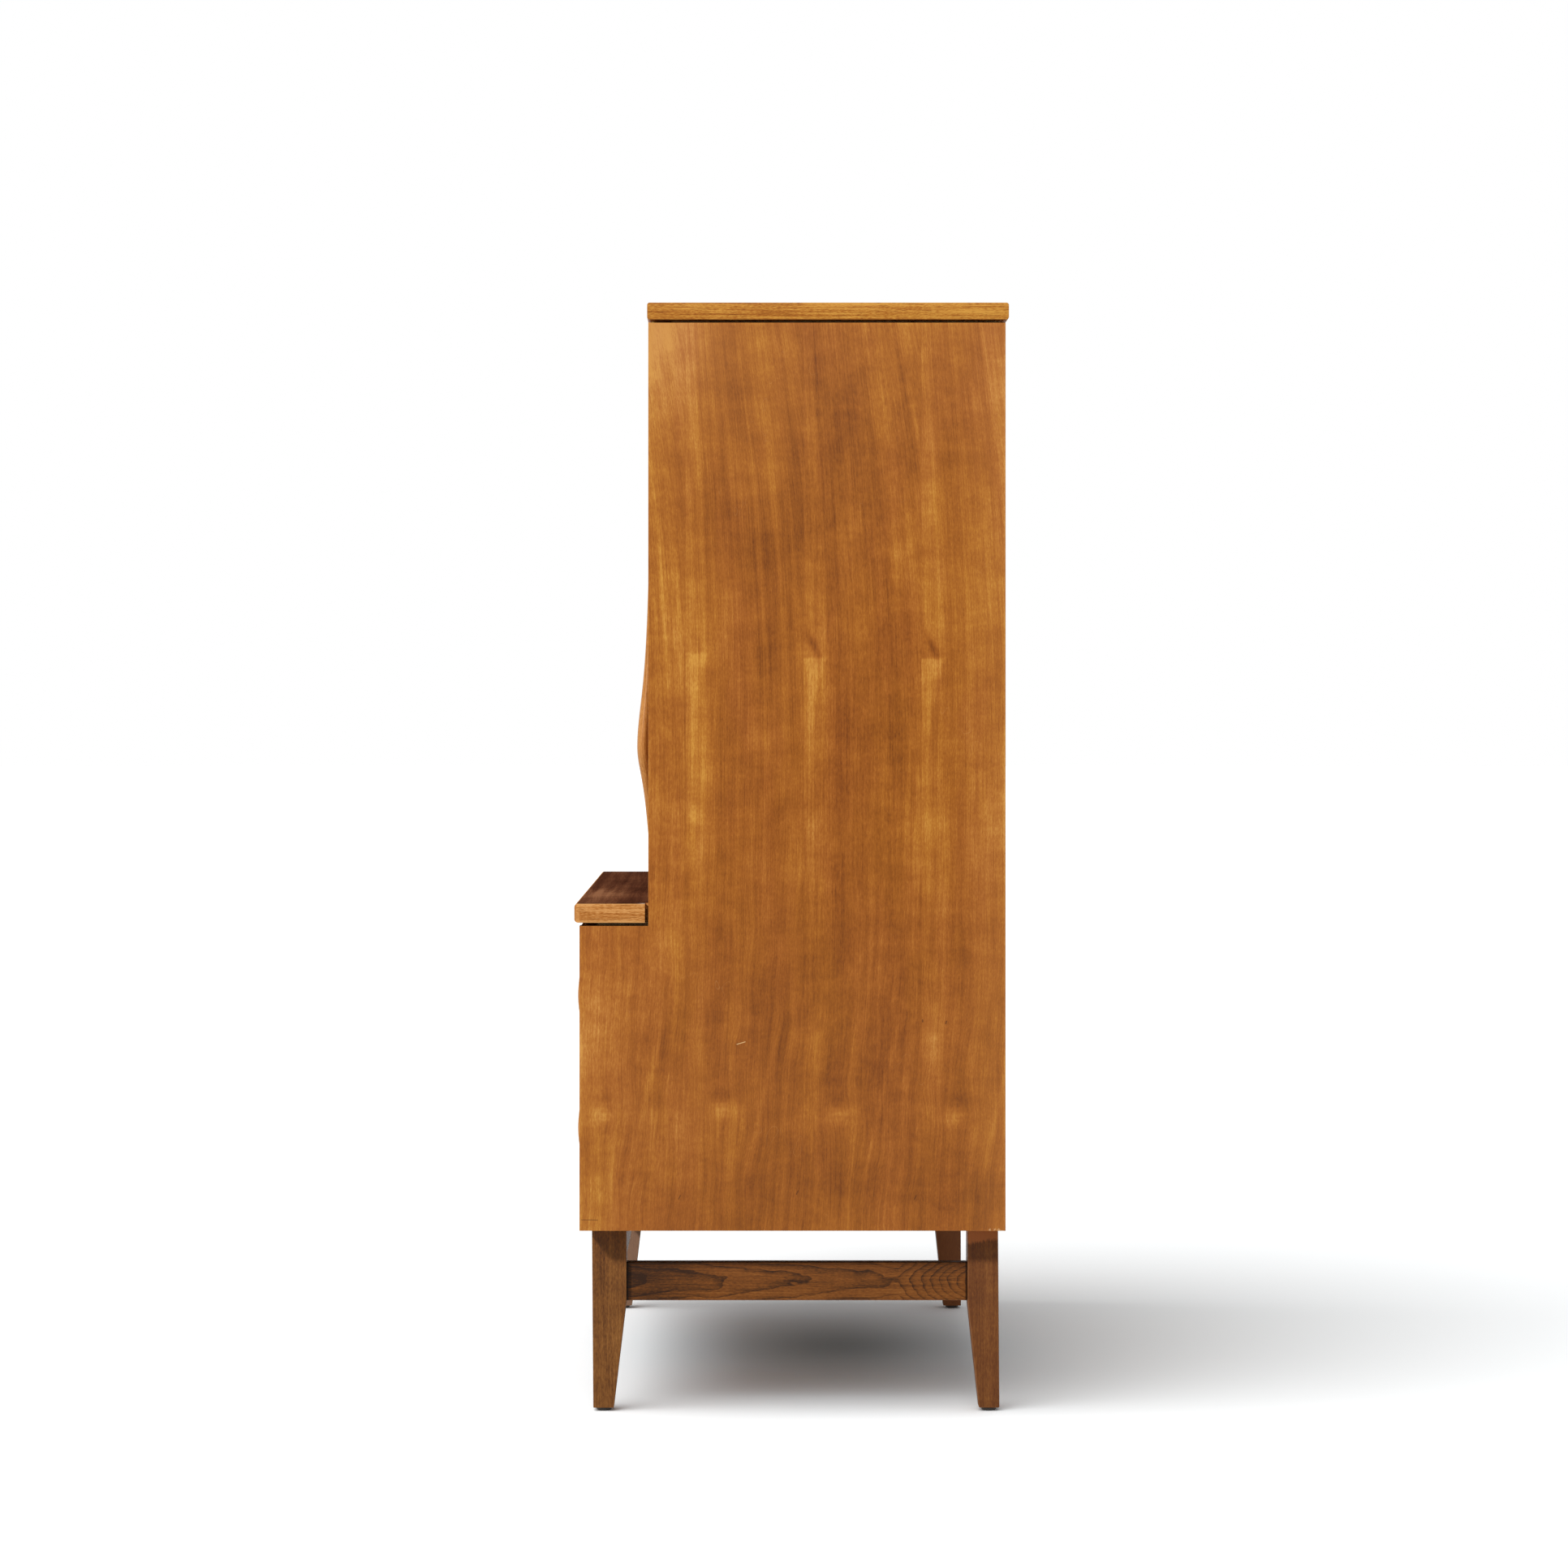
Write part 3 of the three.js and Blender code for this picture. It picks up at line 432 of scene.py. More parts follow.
# Veneer leaves on the sides, with the same figure side by side, as they were sliced from one log. Places in a
# leaf are the distance from its front seam and the height
SIDE_SEAM = -0.1205
SIDE_LEAF = 0.1418
BOW_MIDDLE = 0.85
LIGHT_KNOT = (0.042, 0.371)
DARK_KNOT = (0.0125, 0.935)
DARK_KNOT_LEAN = 0.42
FLAME = (0.0125, 0.450)
PATCH_TOP = 0.9212
PATCH_NARROWS = 0.06
PATCH_FADES = 0.13
LOW_STRAND = 0.0101
LOW_STRAND_LEAN = 0.215
HIGH_STRAND = 0.118
RIPPLE_MIDDLE = 0.034
# Further spots in a leaf: centre, size and strength, which is above 0 where the wood is lighter
LEAF_SPOTS = [
    ((0.046, 0.390), (0.02, 0.009), -0.18), ((0.034, 0.43), (0.011, 0.04), -0.108),
    ((0.012, 0.722), (0.011, 0.011), 0.12),
]

# Marks on the right side, and a dash in each leaf: start, end and width
SCRATCH = ((-0.0587, 0.4503), (-0.0489, 0.4532), 0.0007)
NICK = ((-0.2455, 0.2392), (-0.2262, 0.2390), 0.0006)
FRONT_DOT = ((0.1645, 0.4774), (0.1645, 0.4794), 0.0013)
REAR_DOT = ((0.1924, 0.4752), (0.1932, 0.478), 0.0013)
CHIPS = ((0.246, 0.227), (0.258, 0.227), 0.0028)
LEAF_DASH = ((0.1335, 0.270), (0.1355, 0.2745), 0.0009)

# Clouds in the stain of the sides: centre, size and strength, which is below 0 where the wood is lighter
STAIN_CLOUDS = [
    ((0.085, 0.95), (0.05, 0.3), 0.1), ((-0.0226, 0.896), (0.014, 0.035), 0.14),
    ((-0.0762, 1.2436), (0.026, 0.032), 0.08), ((0.031, 1.263), (0.011, 0.042), 0.16),
    ((0.11, 0.401), (0.015, 0.045), 0.09), ((0.062, 0.28), (0.07, 0.018), 0.1),
    ((0.24, 0.3), (0.035, 0.16), 0.14), ((0.064, 0.372), (0.03, 0.022), -0.1),
    ((-0.045, 0.8), (0.03, 0.06), -0.05), ((0.185, 0.95), (0.04, 0.4), -0.11),
    ((0.022, 1.03), (0.05, 0.09), 0.17), ((-0.012, 0.925), (0.03, 0.03), 0.12),
    ((0.238, 0.98), (0.022, 0.14), -0.07), ((-0.135, 0.765), (0.025, 0.07), 0.17),
    ((-0.188, 0.553), (0.03, 0.04), 0.28), ((0.06, 0.72), (0.04, 0.09), 0.12),
    ((-0.223, 0.43), (0.02, 0.06), -0.13), ((-0.086, 0.431), (0.024, 0.03), -0.1),
    ((-0.03, 1.28), (0.06, 0.035), -0.07),
]


def leaf_course(s, within, along, number):
    """The course of the grain across a leaf: one long bow, which leans most at the rear edge and above the
    middle, parts round the light knot, and sways below the middle."""
    rise = (along - BOW_MIDDLE).greatest(0.0)
    fall = (along - BOW_MIDDLE).least(0.0)
    bow = (rise * rise + fall * fall * 0.3) * (within * (0.17 / SIDE_LEAF) + 0.08)
    parting = (within - LIGHT_KNOT[0]) * oval(within, along, LIGHT_KNOT, (0.014, 0.016)) * 0.5
    sway = noise(s.triple(along, within, number * 0.3), (8.0, 20.0, 1.0), 2.0) - 0.5
    return within + bow - parting + sway * along.step(0.75, 0.5) * 0.022


def leaf_figure(within, along, number, bent):
    """What each leaf adds to the tone: two bright strands, a light and a dark knot, a flame, a few spots, a
    slope from seam to seam, and a bright patch. The patch starts at a straight line under the dark knot and
    narrows on its way down."""
    strand = (within - along * LOW_STRAND_LEAN - LOW_STRAND).hump(0.004)
    strand = strand * along.step(0.52, 0.44) * along.step(0.26, 0.32)
    strand = strand + (bent - HIGH_STRAND).hump(0.003) * along.step(0.9, 1.0) * along.step(1.32, 1.2)
    below = PATCH_TOP - along
    reach = (below * -1.0 / PATCH_NARROWS).exponential() * 0.021 + 0.006
    patch = (within - reach).step(0.005, -0.005) * below.step(-0.002, 0.003)
    patch = patch * (below * -1.0 / PATCH_FADES).exponential() * (number * 0.22 + 0.8)
    leaning = within + (along - DARK_KNOT[1]) * DARK_KNOT_LEAN
    dark_knot = oval(leaning, along, DARK_KNOT, (0.0048, 0.0145)) * number.least(1.0).greatest(0.3)
    off_middle = within - RIPPLE_MIDDLE
    ripples = (off_middle * off_middle * 160.0 + along * 900.0).math("SINE")
    light_knot = oval(within, along, LIGHT_KNOT, (0.0125, 0.0095)) * (ripples * 0.12 + 0.85)
    flame = oval(within, along, FLAME, (0.012, 0.026)) * (number * 0.2 + 0.8)
    slope = (within / SIDE_LEAF).math("COSINE") - 0.84
    figure = patch * 0.26 - dark_knot * 0.4 + light_knot * 0.34 + flame * 0.2
    return figure + strand * 0.15 + slope * 0.12 + spots(within, along, LEAF_SPOTS)


def rim_paling_and_sheen(s):
    """The rims of a side are lighter, most of all at the front and along the back, and a painted sheen lies
    over the top front and in a band under the top: what this adds to the tone, and the paler share of the
    colour."""
    front = s.z.step(STEP_HEIGHT, STEP_HEIGHT - 0.15) * (CASE_FRONT - CUPBOARD_FRONT) + CUPBOARD_FRONT
    front_gap = s.y - front
    back_gap = CASE_BACK - s.y
    top_gap = PANEL_TOP - s.z
    foot = s.z.step(0.75, 0.35)
    pale = front_gap.hump(0.06) * (foot * 0.1 + 0.2) + back_gap.hump(0.03) * 0.16 + top_gap.hump(0.05) * 0.06
    # Painted sheen: lighter over the top front of a side, and paler in a band under the top
    sheen_top_front = front_gap.hump(0.07) * top_gap.hump(0.09)
    edge = back_gap.least(top_gap).step(0.005, 0.0)
    paled_and_sheen = top_gap.hump(0.2) * 0.06 + sheen_top_front * 0.3 + foot * 0.07 + back_gap.hump(0.04) * 0.08
    return pale + sheen_top_front * 0.2 + edge * 0.12 - foot * 0.02, paled_and_sheen


def side_marks(s, within, along, color):
    """The colour with its marks, and where the surface is cut. The right side has a pale scratch, a dark nick
    at the front, two dark dots, and chips at the rear foot. Each leaf has a dark dash."""
    right = s.x.step(0.4, 0.5)
    scratch = stroke(s.y, s.z, *SCRATCH) * right
    nick = stroke(s.y, s.z, *NICK) * right
    dots = stroke(s.y, s.z, *FRONT_DOT).greatest(stroke(s.y, s.z, *REAR_DOT)) * right
    chips = stroke(s.y, s.z, *CHIPS) * noise(s.place, 260.0, 2.0).step(0.52, 0.58) * right
    # Lighter arrises: partly wear, and partly a painted highlight along the lit front arris
    color = blend(s.rubbed * 0.55, color, tint(214, 158, 96))
    color = blend(scratch * 0.8, color, tint(228, 186, 128))
    color = blend(chips * 0.7, color, tint(214, 168, 118))
    dark = nick.greatest(stroke(within, along, *LEAF_DASH)).greatest(dots)
    return blend(dark * 0.65, color, tint(70, 38, 20)), scratch + nick


def lacquered(s, color, grain, lowered, marked=0.2):
    """Finishes veneer: pale hairlines, and a skin that sinks into the pores and where it is lowered."""
    color = blend(s.use(MARKS, Place=s.place)["Hairline"] * marked, color, tint(206, 150, 90))
    roughness = grain["Fibre"] * 0.18 + 0.34 + grain["Pores"] * 0.1
    height = grain["Fibre"] * 0.4 - grain["Pores"] * 0.6 - lowered
    return s.finish(color, roughness, height, 0.00008)


def side_veneer():
    """The sides: upright leaves side by side with one figure, whose knots and bright patches repeat at each
    seam. The stain has taken unevenly over the whole side, in clouds that don't follow the leaves."""
    s = Surface("side_veneer")
    across = s.y + (s.x.absolute() - CASE_SIDE)
    leaf = s.use(LEAVES, Across=across, Along=s.z, Start=SIDE_SEAM, Width=SIDE_LEAF, Slip=0.007)
    within, along, number = leaf["Within"], leaf["Along"], leaf["Leaf"]
    bent = leaf_course(s, within, along, number)
    grain = s.use(
        GRAIN, Place=s.triple(along, bent, number * 0.0022 + 2.0), Seed=1.3,
        Wander=0.016, Bands=0.4, Streaks=0.6, Fibres=0.52, Clouds=0.22, Ripple=0.16,
    )
    spread = s.triple(s.z, s.y, s.x * 3.0)
    stain = noise(spread, (5.0, 11.0, 1.0), 5.0, 0.58) - 0.5
    mottle = noise(spread, (52.0, 30.0, 1.0), 3.0, 0.6) - 0.5
    warmth = noise(s.triple(s.z, s.y, s.x * 3.0 + 5.0), (4.0, 14.0, 1.0), 4.0, 0.6)
    # Lighter rims, with a painted sheen over the top front and in a band under the top
    worn, paled_and_sheen = rim_paling_and_sheen(s)
    tone = grain["Tone"] + leaf_figure(within, along, number, bent) - spots(s.y, s.z, STAIN_CLOUDS)
    tone = tone + stain * 0.95 + mottle * 0.42 - grain["Pores"] * 0.12 - leaf["Seam"] * 0.03 - 0.06 + worn
    color = blend(warmth.step(0.38, 0.66) * 0.3, tone.ramp(*HONEY), tone.ramp(*RUSSET))
    color, cuts = side_marks(s, within, along, blend(paled_and_sheen, color, tint(196, 134, 84)))
    return lacquered(s, color, grain, leaf["Seam"] * 0.5 + cuts * 1.2, 0.22)


def front_veneer(name, start, width, seed):
    """Doors: upright leaves across the front, a little quieter than the sides."""
    s = Surface(name)
    leaf = s.use(LEAVES, Across=s.x + s.y * 0.3, Along=s.z, Start=start, Width=width, Slip=0.005)
    grain = s.use(
        GRAIN, Place=s.triple(leaf["Along"], leaf["Within"], leaf["Leaf"] * 0.003 + seed), Seed=seed,
        Wander=0.05, Bands=0.85, Streaks=0.6, Fibres=0.3, Clouds=0.4,
    )
    tone = grain["Tone"] - grain["Pores"] * 0.07 - leaf["Seam"] * 0.05
    color = blend(s.rubbed * 0.5, tone.ramp(*HONEY), tint(210, 154, 92))
    return lacquered(s, color, grain, leaf["Seam"] * 0.5)


def lying_veneer(name, seed, middle):
    """Drawer fronts, shelves and the bottom panel: the grain lies from side to side, with arches about a
    middle line."""
    s = Surface(name)
    across = s.z + s.y
    grain = s.use(
        GRAIN, Place=s.triple(s.x, across, seed), Seed=seed,
        Wander=0.03, Bands=0.7, Streaks=0.55, Fibres=0.3, Clouds=0.35,
    )
    rings = s.use(
        RINGS, Place=s.triple(s.x, across - middle, 0.0), Pith=0.028, Lean=0.045, Width=0.0062, Wobble=0.012
    )
    tone = grain["Tone"] - grain["Pores"] * 0.07 - rings["Late"] * rings["Strength"] * 0.2
    color = blend(s.rubbed * 0.5, tone.ramp(*HONEY), tint(210, 154, 92))
    return lacquered(s, color, grain, rings["Late"] * 0.2)


# Where the ledge's top is worn white at its side edge, by the foot of the cupboard
WORN_PLACE = (side_high.x, -0.1717)
# The middle and the reach of the band of dust across the ledge
DUST_MIDDLE = 0.25
DUST_REACH = 0.13


def slab_wood(name, face_stops, edge_stops, seed, dust, end_lift, shine):
    """The two slabs: a face with its grain from side to side, and edges whose grain follows them. Dust lies
    on the ledge, most of it in a band across it."""
    s = Surface(name)
    grain = s.use(
        GRAIN, Place=s.triple(s.x, s.y + s.z * 0.7, seed), Seed=seed,
        Wander=0.02, Bands=0.8, Streaks=0.7, Fibres=0.4, Clouds=0.45,
    )
    end = s.use(
        GRAIN, Place=s.triple(s.y, s.z * 1.6, s.x * 0.2), Seed=seed + 0.4,
        Wander=0.008, Bands=0.5, Streaks=1.5, Fibres=1.2, Clouds=0.7,
    )
    is_end = s.nx.absolute().step(0.6, 0.75)
    is_face = s.nz.absolute().step(0.82, 0.96)
    is_top = s.nz.step(0.9, 0.99)
    edge_tone = (grain["Tone"] + 0.1) * (1.0 - is_end) + (end["Tone"] + end_lift) * is_end
    pores = grain["Pores"] * (1.0 - is_end) + end["Pores"] * is_end * 2.5
    band = (s.x - DUST_MIDDLE + (grain["Tone"] - 0.5) * 0.12).hump(DUST_REACH) * dust
    face_tone = grain["Tone"] - pores * 0.1 + band * 0.32
    color = blend(is_face, (edge_tone - pores * 0.1).ramp(*edge_stops), face_tone.ramp(*face_stops))
    color = blend(s.rubbed * 0.5, color, tint(216, 160, 98))
    fine = s.use(MARKS, Place=s.place)
    color = blend(fine["Hairline"] * is_face * 0.35, color, tint(150, 104, 74))
    color = blend(fine["Dust"] * is_top * (band * 0.7 + dust * 0.3), color, tint(214, 190, 168))
    broken = noise(s.place, 240.0, 3.0, 0.6).step(0.36, 0.5)
    worn = oval(s.x, s.y, WORN_PLACE, (0.009, 0.006)) * broken * dust
    color = blend(worn * is_top, color, tint(222, 208, 190))
    roughness = grain["Fibre"] * 0.2 + 0.4 + fine["Dust"] * 0.3
    height = grain["Fibre"] * 0.4 - pores * 0.7
    return s.finish(color, roughness, height, 0.0001, shine)


def leg_wood():
    """The legs: solid, with upright grain, darker than the case. The inner faces carry painted light: a pale
    sheen on the front legs, and a lift in the shade on the rear legs. The rear legs are redder, and a painted
    band of bounced light lies along their tops, right under the case."""
    s = Surface("leg_wood")
    grain = s.use(
        GRAIN, Place=s.triple(s.z, s.x, s.y), Seed=5.1,
        Wander=0.012, Bands=0.45, Streaks=0.5, Fibres=0.75, Clouds=0.55, Ripple=0.3,
    )
    tone = grain["Tone"] - 0.07 - grain["Pores"] * 0.16
    rear = s.y.step(-0.05, 0.05)
    color = blend(rear * 0.3, tone.ramp(*WALNUT), tint(112, 59, 30))
    # Painted light: a pale grey sheen on the inner faces of the front legs, and the inner faces of the rear
    # legs lifted where they stand in shade
    inner = (s.nx * s.x * -1.0).step(0.2, 0.35)
    color = blend(inner * (1.0 - rear) * 0.6, color, tint(150, 122, 104))
    color = blend(inner * rear * 0.6, color, tint(156, 98, 62))
    # Painted light: a lighter, redder band of bounced light along the top of the rear legs, right under the
    # case
    painted_bounce_band = s.y.step(0.1, 0.2) * (s.z - s.y * 0.15 + (grain["Fibre"] - 0.5) * 0.006).step(0.168, 0.173)
    color = blend(painted_bounce_band * 0.8, color, tint(180, 108, 58))
    color = blend(s.rubbed * 0.5, color, tint(150, 104, 66))
    roughness = grain["Fibre"] * 0.2 + 0.36
    height = grain["Fibre"] * 0.5 - grain["Pores"] * 0.7
    return s.finish(color, roughness, height, 0.0001)


# The figure of the stretchers: how deep the pith lies, and where the cut turns towards the front and the rear
# end. The longer front stretcher has the same figure, drawn out
STRETCHER_PITH = 0.04914
FRONT_TURN = 0.13
REAR_TURN = 0.1375
DRAWN_OUT = 0.45


def stretcher_wood(name, lengthwise, seed):
    """The stretchers: solid and flat sawn, so that dark late wood runs along them and closes in arches near
    both ends. The cut comes nearer to the pith slowly and evenly towards the front, and fast, with a square
    term, towards the rear."""
    s = Surface(name)
    across = s.z - mid_height(stretcher_box)
    if lengthwise == "y":
        along = s.y
        outer = s.x.absolute() - stretcher_box[1].x
        joint = (s.y - front_leg_high.y).least(rear_leg_low.y - s.y)
    else:
        along = s.x * DRAWN_OUT
        outer = s.y - front_bar_low.y
        joint = front_leg_low.x - s.x.absolute()
    grain = s.use(
        GRAIN, Place=s.triple(along, across, outer), Seed=seed,
        Wander=0.012, Bands=0.4, Streaks=0.6, Fibres=0.6, Clouds=0.5,
    )
    rear_run = (along - REAR_TURN).greatest(0.0)
    fall = (FRONT_TURN - along).greatest(0.0) * 0.037 + rear_run * 0.25 + rear_run * rear_run * 0.6
    twist = (noise(s.triple(along, across, seed), (13.0, 36.0, 1.0), 3.0, 0.6) - 0.5) * 0.0065
    rings = s.use(
        RINGS, Place=s.triple(along, across, outer - fall + twist),
        Pith=STRETCHER_PITH, Lean=0.0, Width=0.0035, Wobble=0.0015, Sharpness=4.0,
    )
    # Painted shadow: darker towards one end, which on a side stretcher is the front end, where the case's
    # shadow falls
    shadowed_end = along.step(-0.07, -0.16) * 0.24
    tone = grain["Tone"] - rings["Late"] * (rings["Strength"] * 0.4 + 0.22) - grain["Pores"] * 0.14 - shadowed_end
    color = blend(s.rubbed * 0.4, tone.ramp(*STRETCHER_TONES), tint(168, 116, 72))
    # Painted shade: the top faces go nearly black, as in shade under the case; the ends are dark joints within
    # 3 mm of the legs
    shaded_top_and_joints = (s.nz.step(0.6, 0.9) * 0.8).greatest(joint.step(0.0032, 0.001) * 0.9)
    color = blend(shaded_top_and_joints, color, tint(22, 13, 9))
    roughness = grain["Fibre"] * 0.2 + 0.38
    height = grain["Fibre"] * 0.4 - grain["Pores"] * 0.6 - rings["Late"] * 0.4
    return s.finish(color, roughness, height, 0.0001)


def pull_wood():
    """The pulls: carved from the solid, so that the growth rings come out on the swell as nested loops."""
    s = Surface("pull_wood")
    place = s.triple(s.z, s.x, s.y)
    grain = s.use(
        GRAIN, Place=place, Seed=7.7, Wander=0.008, Bands=0.35, Streaks=0.45, Fibres=0.4, Clouds=0.3
    )
    rings = s.use(RINGS, Place=place, Pith=0.235, Lean=0.02, Width=0.0031, Wobble=0.0035)
    tone = grain["Tone"] - rings["Late"] * rings["Strength"] * 0.45 - grain["Pores"] * 0.1
    roughness = grain["Fibre"] * 0.16 + 0.36
    height = grain["Fibre"] * 0.3 - grain["Pores"] * 0.5 - rings["Late"] * 0.2
    return s.finish(tone.ramp(*PULL_TONES), roughness, height, 0.00008, shine=0.2)


def box_wood(name, lengthwise, seed):
    """Drawer boxes, rails and guides: pale wood, hardly finished, with darker rings and dirtied arrises."""
    s = Surface(name)
    along, beside = (s.x, s.y) if lengthwise == "x" else (s.y, s.x)
    place = s.triple(along, beside + s.z, seed)
    grain = s.use(GRAIN, Place=place, Seed=seed, Wander=0.02, Bands=0.6, Streaks=0.5, Fibres=0.35, Clouds=0.3)
    rings = s.use(RINGS, Place=place, Pith=0.05, Lean=0.05, Width=0.0045, Wobble=0.008)
    tone = grain["Tone"] - rings["Late"] * rings["Strength"] * 0.3 - grain["Pores"] * 0.08
    color = blend(s.rubbed * 0.35, tone.ramp(*PALE), tint(120, 88, 56))
    roughness = grain["Fibre"] * 0.15 + 0.6
    height = grain["Fibre"] * 0.6 - grain["Pores"] * 0.5
    return s.finish(color, roughness, height, 0.00012)


def back_board(name, light, dark):
    """Back panel and drawer bottoms: pressed board, with short fibres lying every way and a few stains."""
    s = Surface(name)
    flecks = noise(s.place, 330.0, 3.0, 0.65)
    felt = noise(s.place, 60.0, 3.0)
    stains = noise(s.place, 4.0, 4.0, 0.6)
    tone = flecks * 0.65 + felt * 0.15 + stains * 0.45 - 0.13
    color = tone.ramp((0.25, dark), (0.75, light))
    return s.finish(color, flecks * 0.2 + 0.66, flecks, 0.00015)


def metal(name, bright, dull, roughness):
    """Brass and steel fittings: drawn metal with fine lines, dulled in patches."""
    s = Surface(name)
    tarnish = noise(s.place, 70.0, 4.0, 0.65)
    lines = noise(s.place, (900.0, 90.0, 900.0), 2.0)
    color = (tarnish + s.rubbed * -0.3).ramp((0.35, bright), (0.7, dull))
    rough = tarnish * 0.3 + lines * 0.12 + roughness - 0.2
    return s.finish(color, rough, lines, 0.00003, PLAIN_SHINE, metallic=1.0)


def moulded(name, color, rubbed_color, roughness):
    """Catch and glides: moulded plastic with a fine matte skin, paler where it has rubbed."""
    s = Surface(name)
    pebbles = noise(s.place, 700.0, 2.0)
    wear = noise(s.place, 90.0, 3.0, 0.6)
    shade = (wear * 0.5 + s.rubbed * 0.4).ramp((0.2, color), (0.8, rubbed_color))
    return s.finish(shade, pebbles * 0.15 + roughness, pebbles, 0.00004, PLAIN_SHINE)


# Geometry


def in_scene(name, data):
    """A new object in the scene, from a mesh, a lamp or a camera."""
    thing = bpy.data.objects.new(name, data)
    bpy.context.scene.collection.objects.link(thing)
    return thing


def add_piece(name, mesh, material, body, slot, *stands_for):
    """A finished piece at the origin that rides on a body and stands for the named nodes."""
    piece = in_scene(name, mesh)
    mesh.materials.clear()
    mesh.materials.append(material)
    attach(piece, body)
    if stands_for:
        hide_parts(*stands_for)
    return piece


def finer(node, manner, mesh, material):
    """A finer shape that stands for one node of the frame."""
    return add_piece(f"{node}_{manner}", mesh, material, BODY_OF[node], SLOT_OF[node], node)


MERGE_GAP = 1e-6
FLAT_ANGLE = 0.01
SHARP_ANGLE = math.radians(34)
EASE_STEPS = 3


def eased(node, ease, material):
    """A board or fitting as the frame has it, with each sharp edge rounded to the ease."""
    mesh = frame["nodes"][node].data.copy()
    merged = bmesh.new()
    merged.from_mesh(mesh)
    bmesh.ops.remove_doubles(merged, verts=merged.verts, dist=MERGE_GAP)
    bmesh.ops.dissolve_limit(merged, angle_limit=FLAT_ANGLE, verts=merged.verts, edges=merged.edges)
    for face in merged.faces:
        face.smooth = True
    merged.to_mesh(mesh)
    merged.free()
    bevel = finer(node, "finished", mesh, material).modifiers.new("eased", "BEVEL")
    bevel.width = ease
    bevel.segments = EASE_STEPS
    bevel.limit_method = "ANGLE"
    bevel.angle_limit = SHARP_ANGLE
    bevel.harden_normals = True


def closed_shell(rows):
    """Points, four-sided faces and end triangles of one closed shell."""
    count = rows.shape[1]
    body = rows[1:-1]
    points = np.vstack([rows[0].mean(0)[None], body.reshape(-1, 3), rows[-1].mean(0)[None]])
    ring = np.arange(count)
    after = (ring + 1) % count
    starts = 1 + np.arange(len(body) - 1)[:, None] * count
    quads = np.stack([starts + ring, starts + after, starts + count + after, starts + count + ring], -1)
    last = 1 + (len(body) - 1) * count
    first_fan = np.stack([np.zeros(count, int), 1 + after, 1 + ring], -1)
    last_fan = np.stack([np.full(count, len(points) - 1), last + ring, last + after], -1)
    return points, quads.reshape(-1, 4), np.vstack([first_fan, last_fan])


def skin(name, *shells):
    """A mesh of closed shells, each made from rows of points: each row closes on itself, and the two end rows
    are drawn to a point. The shells have as many rows and points as each other."""
    points, quads, fans = closed_shell(shells[0])
    every = np.vstack([closed_shell(rows)[0] for rows in shells])
    shift = np.arange(len(shells))[:, None, None] * len(points)
    faces = (quads[None] + shift).reshape(-1, 4).tolist() + (fans[None] + shift).reshape(-1, 3).tolist()
    mesh = bpy.data.meshes.new(name)
    mesh.from_pydata(every.tolist(), [], faces)
    outward = bmesh.new()
    outward.from_mesh(mesh)
    bmesh.ops.recalc_face_normals(outward, faces=outward.faces)
    outward.to_mesh(mesh)
    outward.free()
    mesh.shade_smooth()
    return mesh


def through(points, steps):
    """A smooth curve through points, as cubic pieces whose slope at each point is half the way between its
    neighbours."""
    points = np.asarray(points, float)
    padded = np.vstack([points[:1] * 2 - points[1:2], points, points[-1:] * 2 - points[-2:-1]])
    before, start, end, after = padded[:-3], padded[1:-2], padded[2:-1], padded[3:]
    t = np.linspace(0, 1, steps, endpoint=False)[None, :, None]
    cubic = (
        2 * start[:, None] + (end - before)[:, None] * t
        + (2 * before - 5 * start + 4 * end - after)[:, None] * t ** 2
        + (3 * start - before - 3 * end + after)[:, None] * t ** 3
    ) / 2
    return np.vstack([cubic.reshape(-1, points.shape[1]), points[-1:]])


# Pull sizes, as the frame has them
PULL_BASE = 0.0095
PULL_FADE_POWER = 5
DOOR_PULL = {
    "rise": 0.016, "swell": 0.804, "above": 0.092, "below": 0.058, "up": 0.346, "down": 0.160,
    "half": 0.046, "stem": 0.015,
}
DRAWER_PULL = {
    "rise": 0.01135, "drop": 0.030, "above": 0.056, "below": 0.056, "tip_gap": 0.008,
    "half": 0.036, "stem": 0.015,
}

# Shares of a pull's half width and thickness, from the meeting edge over the crest and back under the finger
# edge, and the thickness in the middle where both leaves are one
PULL_SHARES = [
    (0.0, 0.34), (0.015, 0.41), (0.1, 0.47), (0.3, 0.7), (0.48, 0.88), (0.64, 0.98), (0.76, 1.0),
    (0.88, 0.95), (0.97, 0.82), (1.0, 0.66), (0.95, 0.5), (0.84, 0.36), (0.73, 0.24), (0.66, 0.1),
    (0.64, 0.0),
]
PULL_HEEL = PULL_SHARES[-1][0]
JOINED_THICKNESS = 0.445
PULL_ROWS = 120
CURVE_STEPS = 6
MEETING_STEPS = 5
DOOR_BACK_STEPS = 10
DRAWER_BACK_STEPS = 14


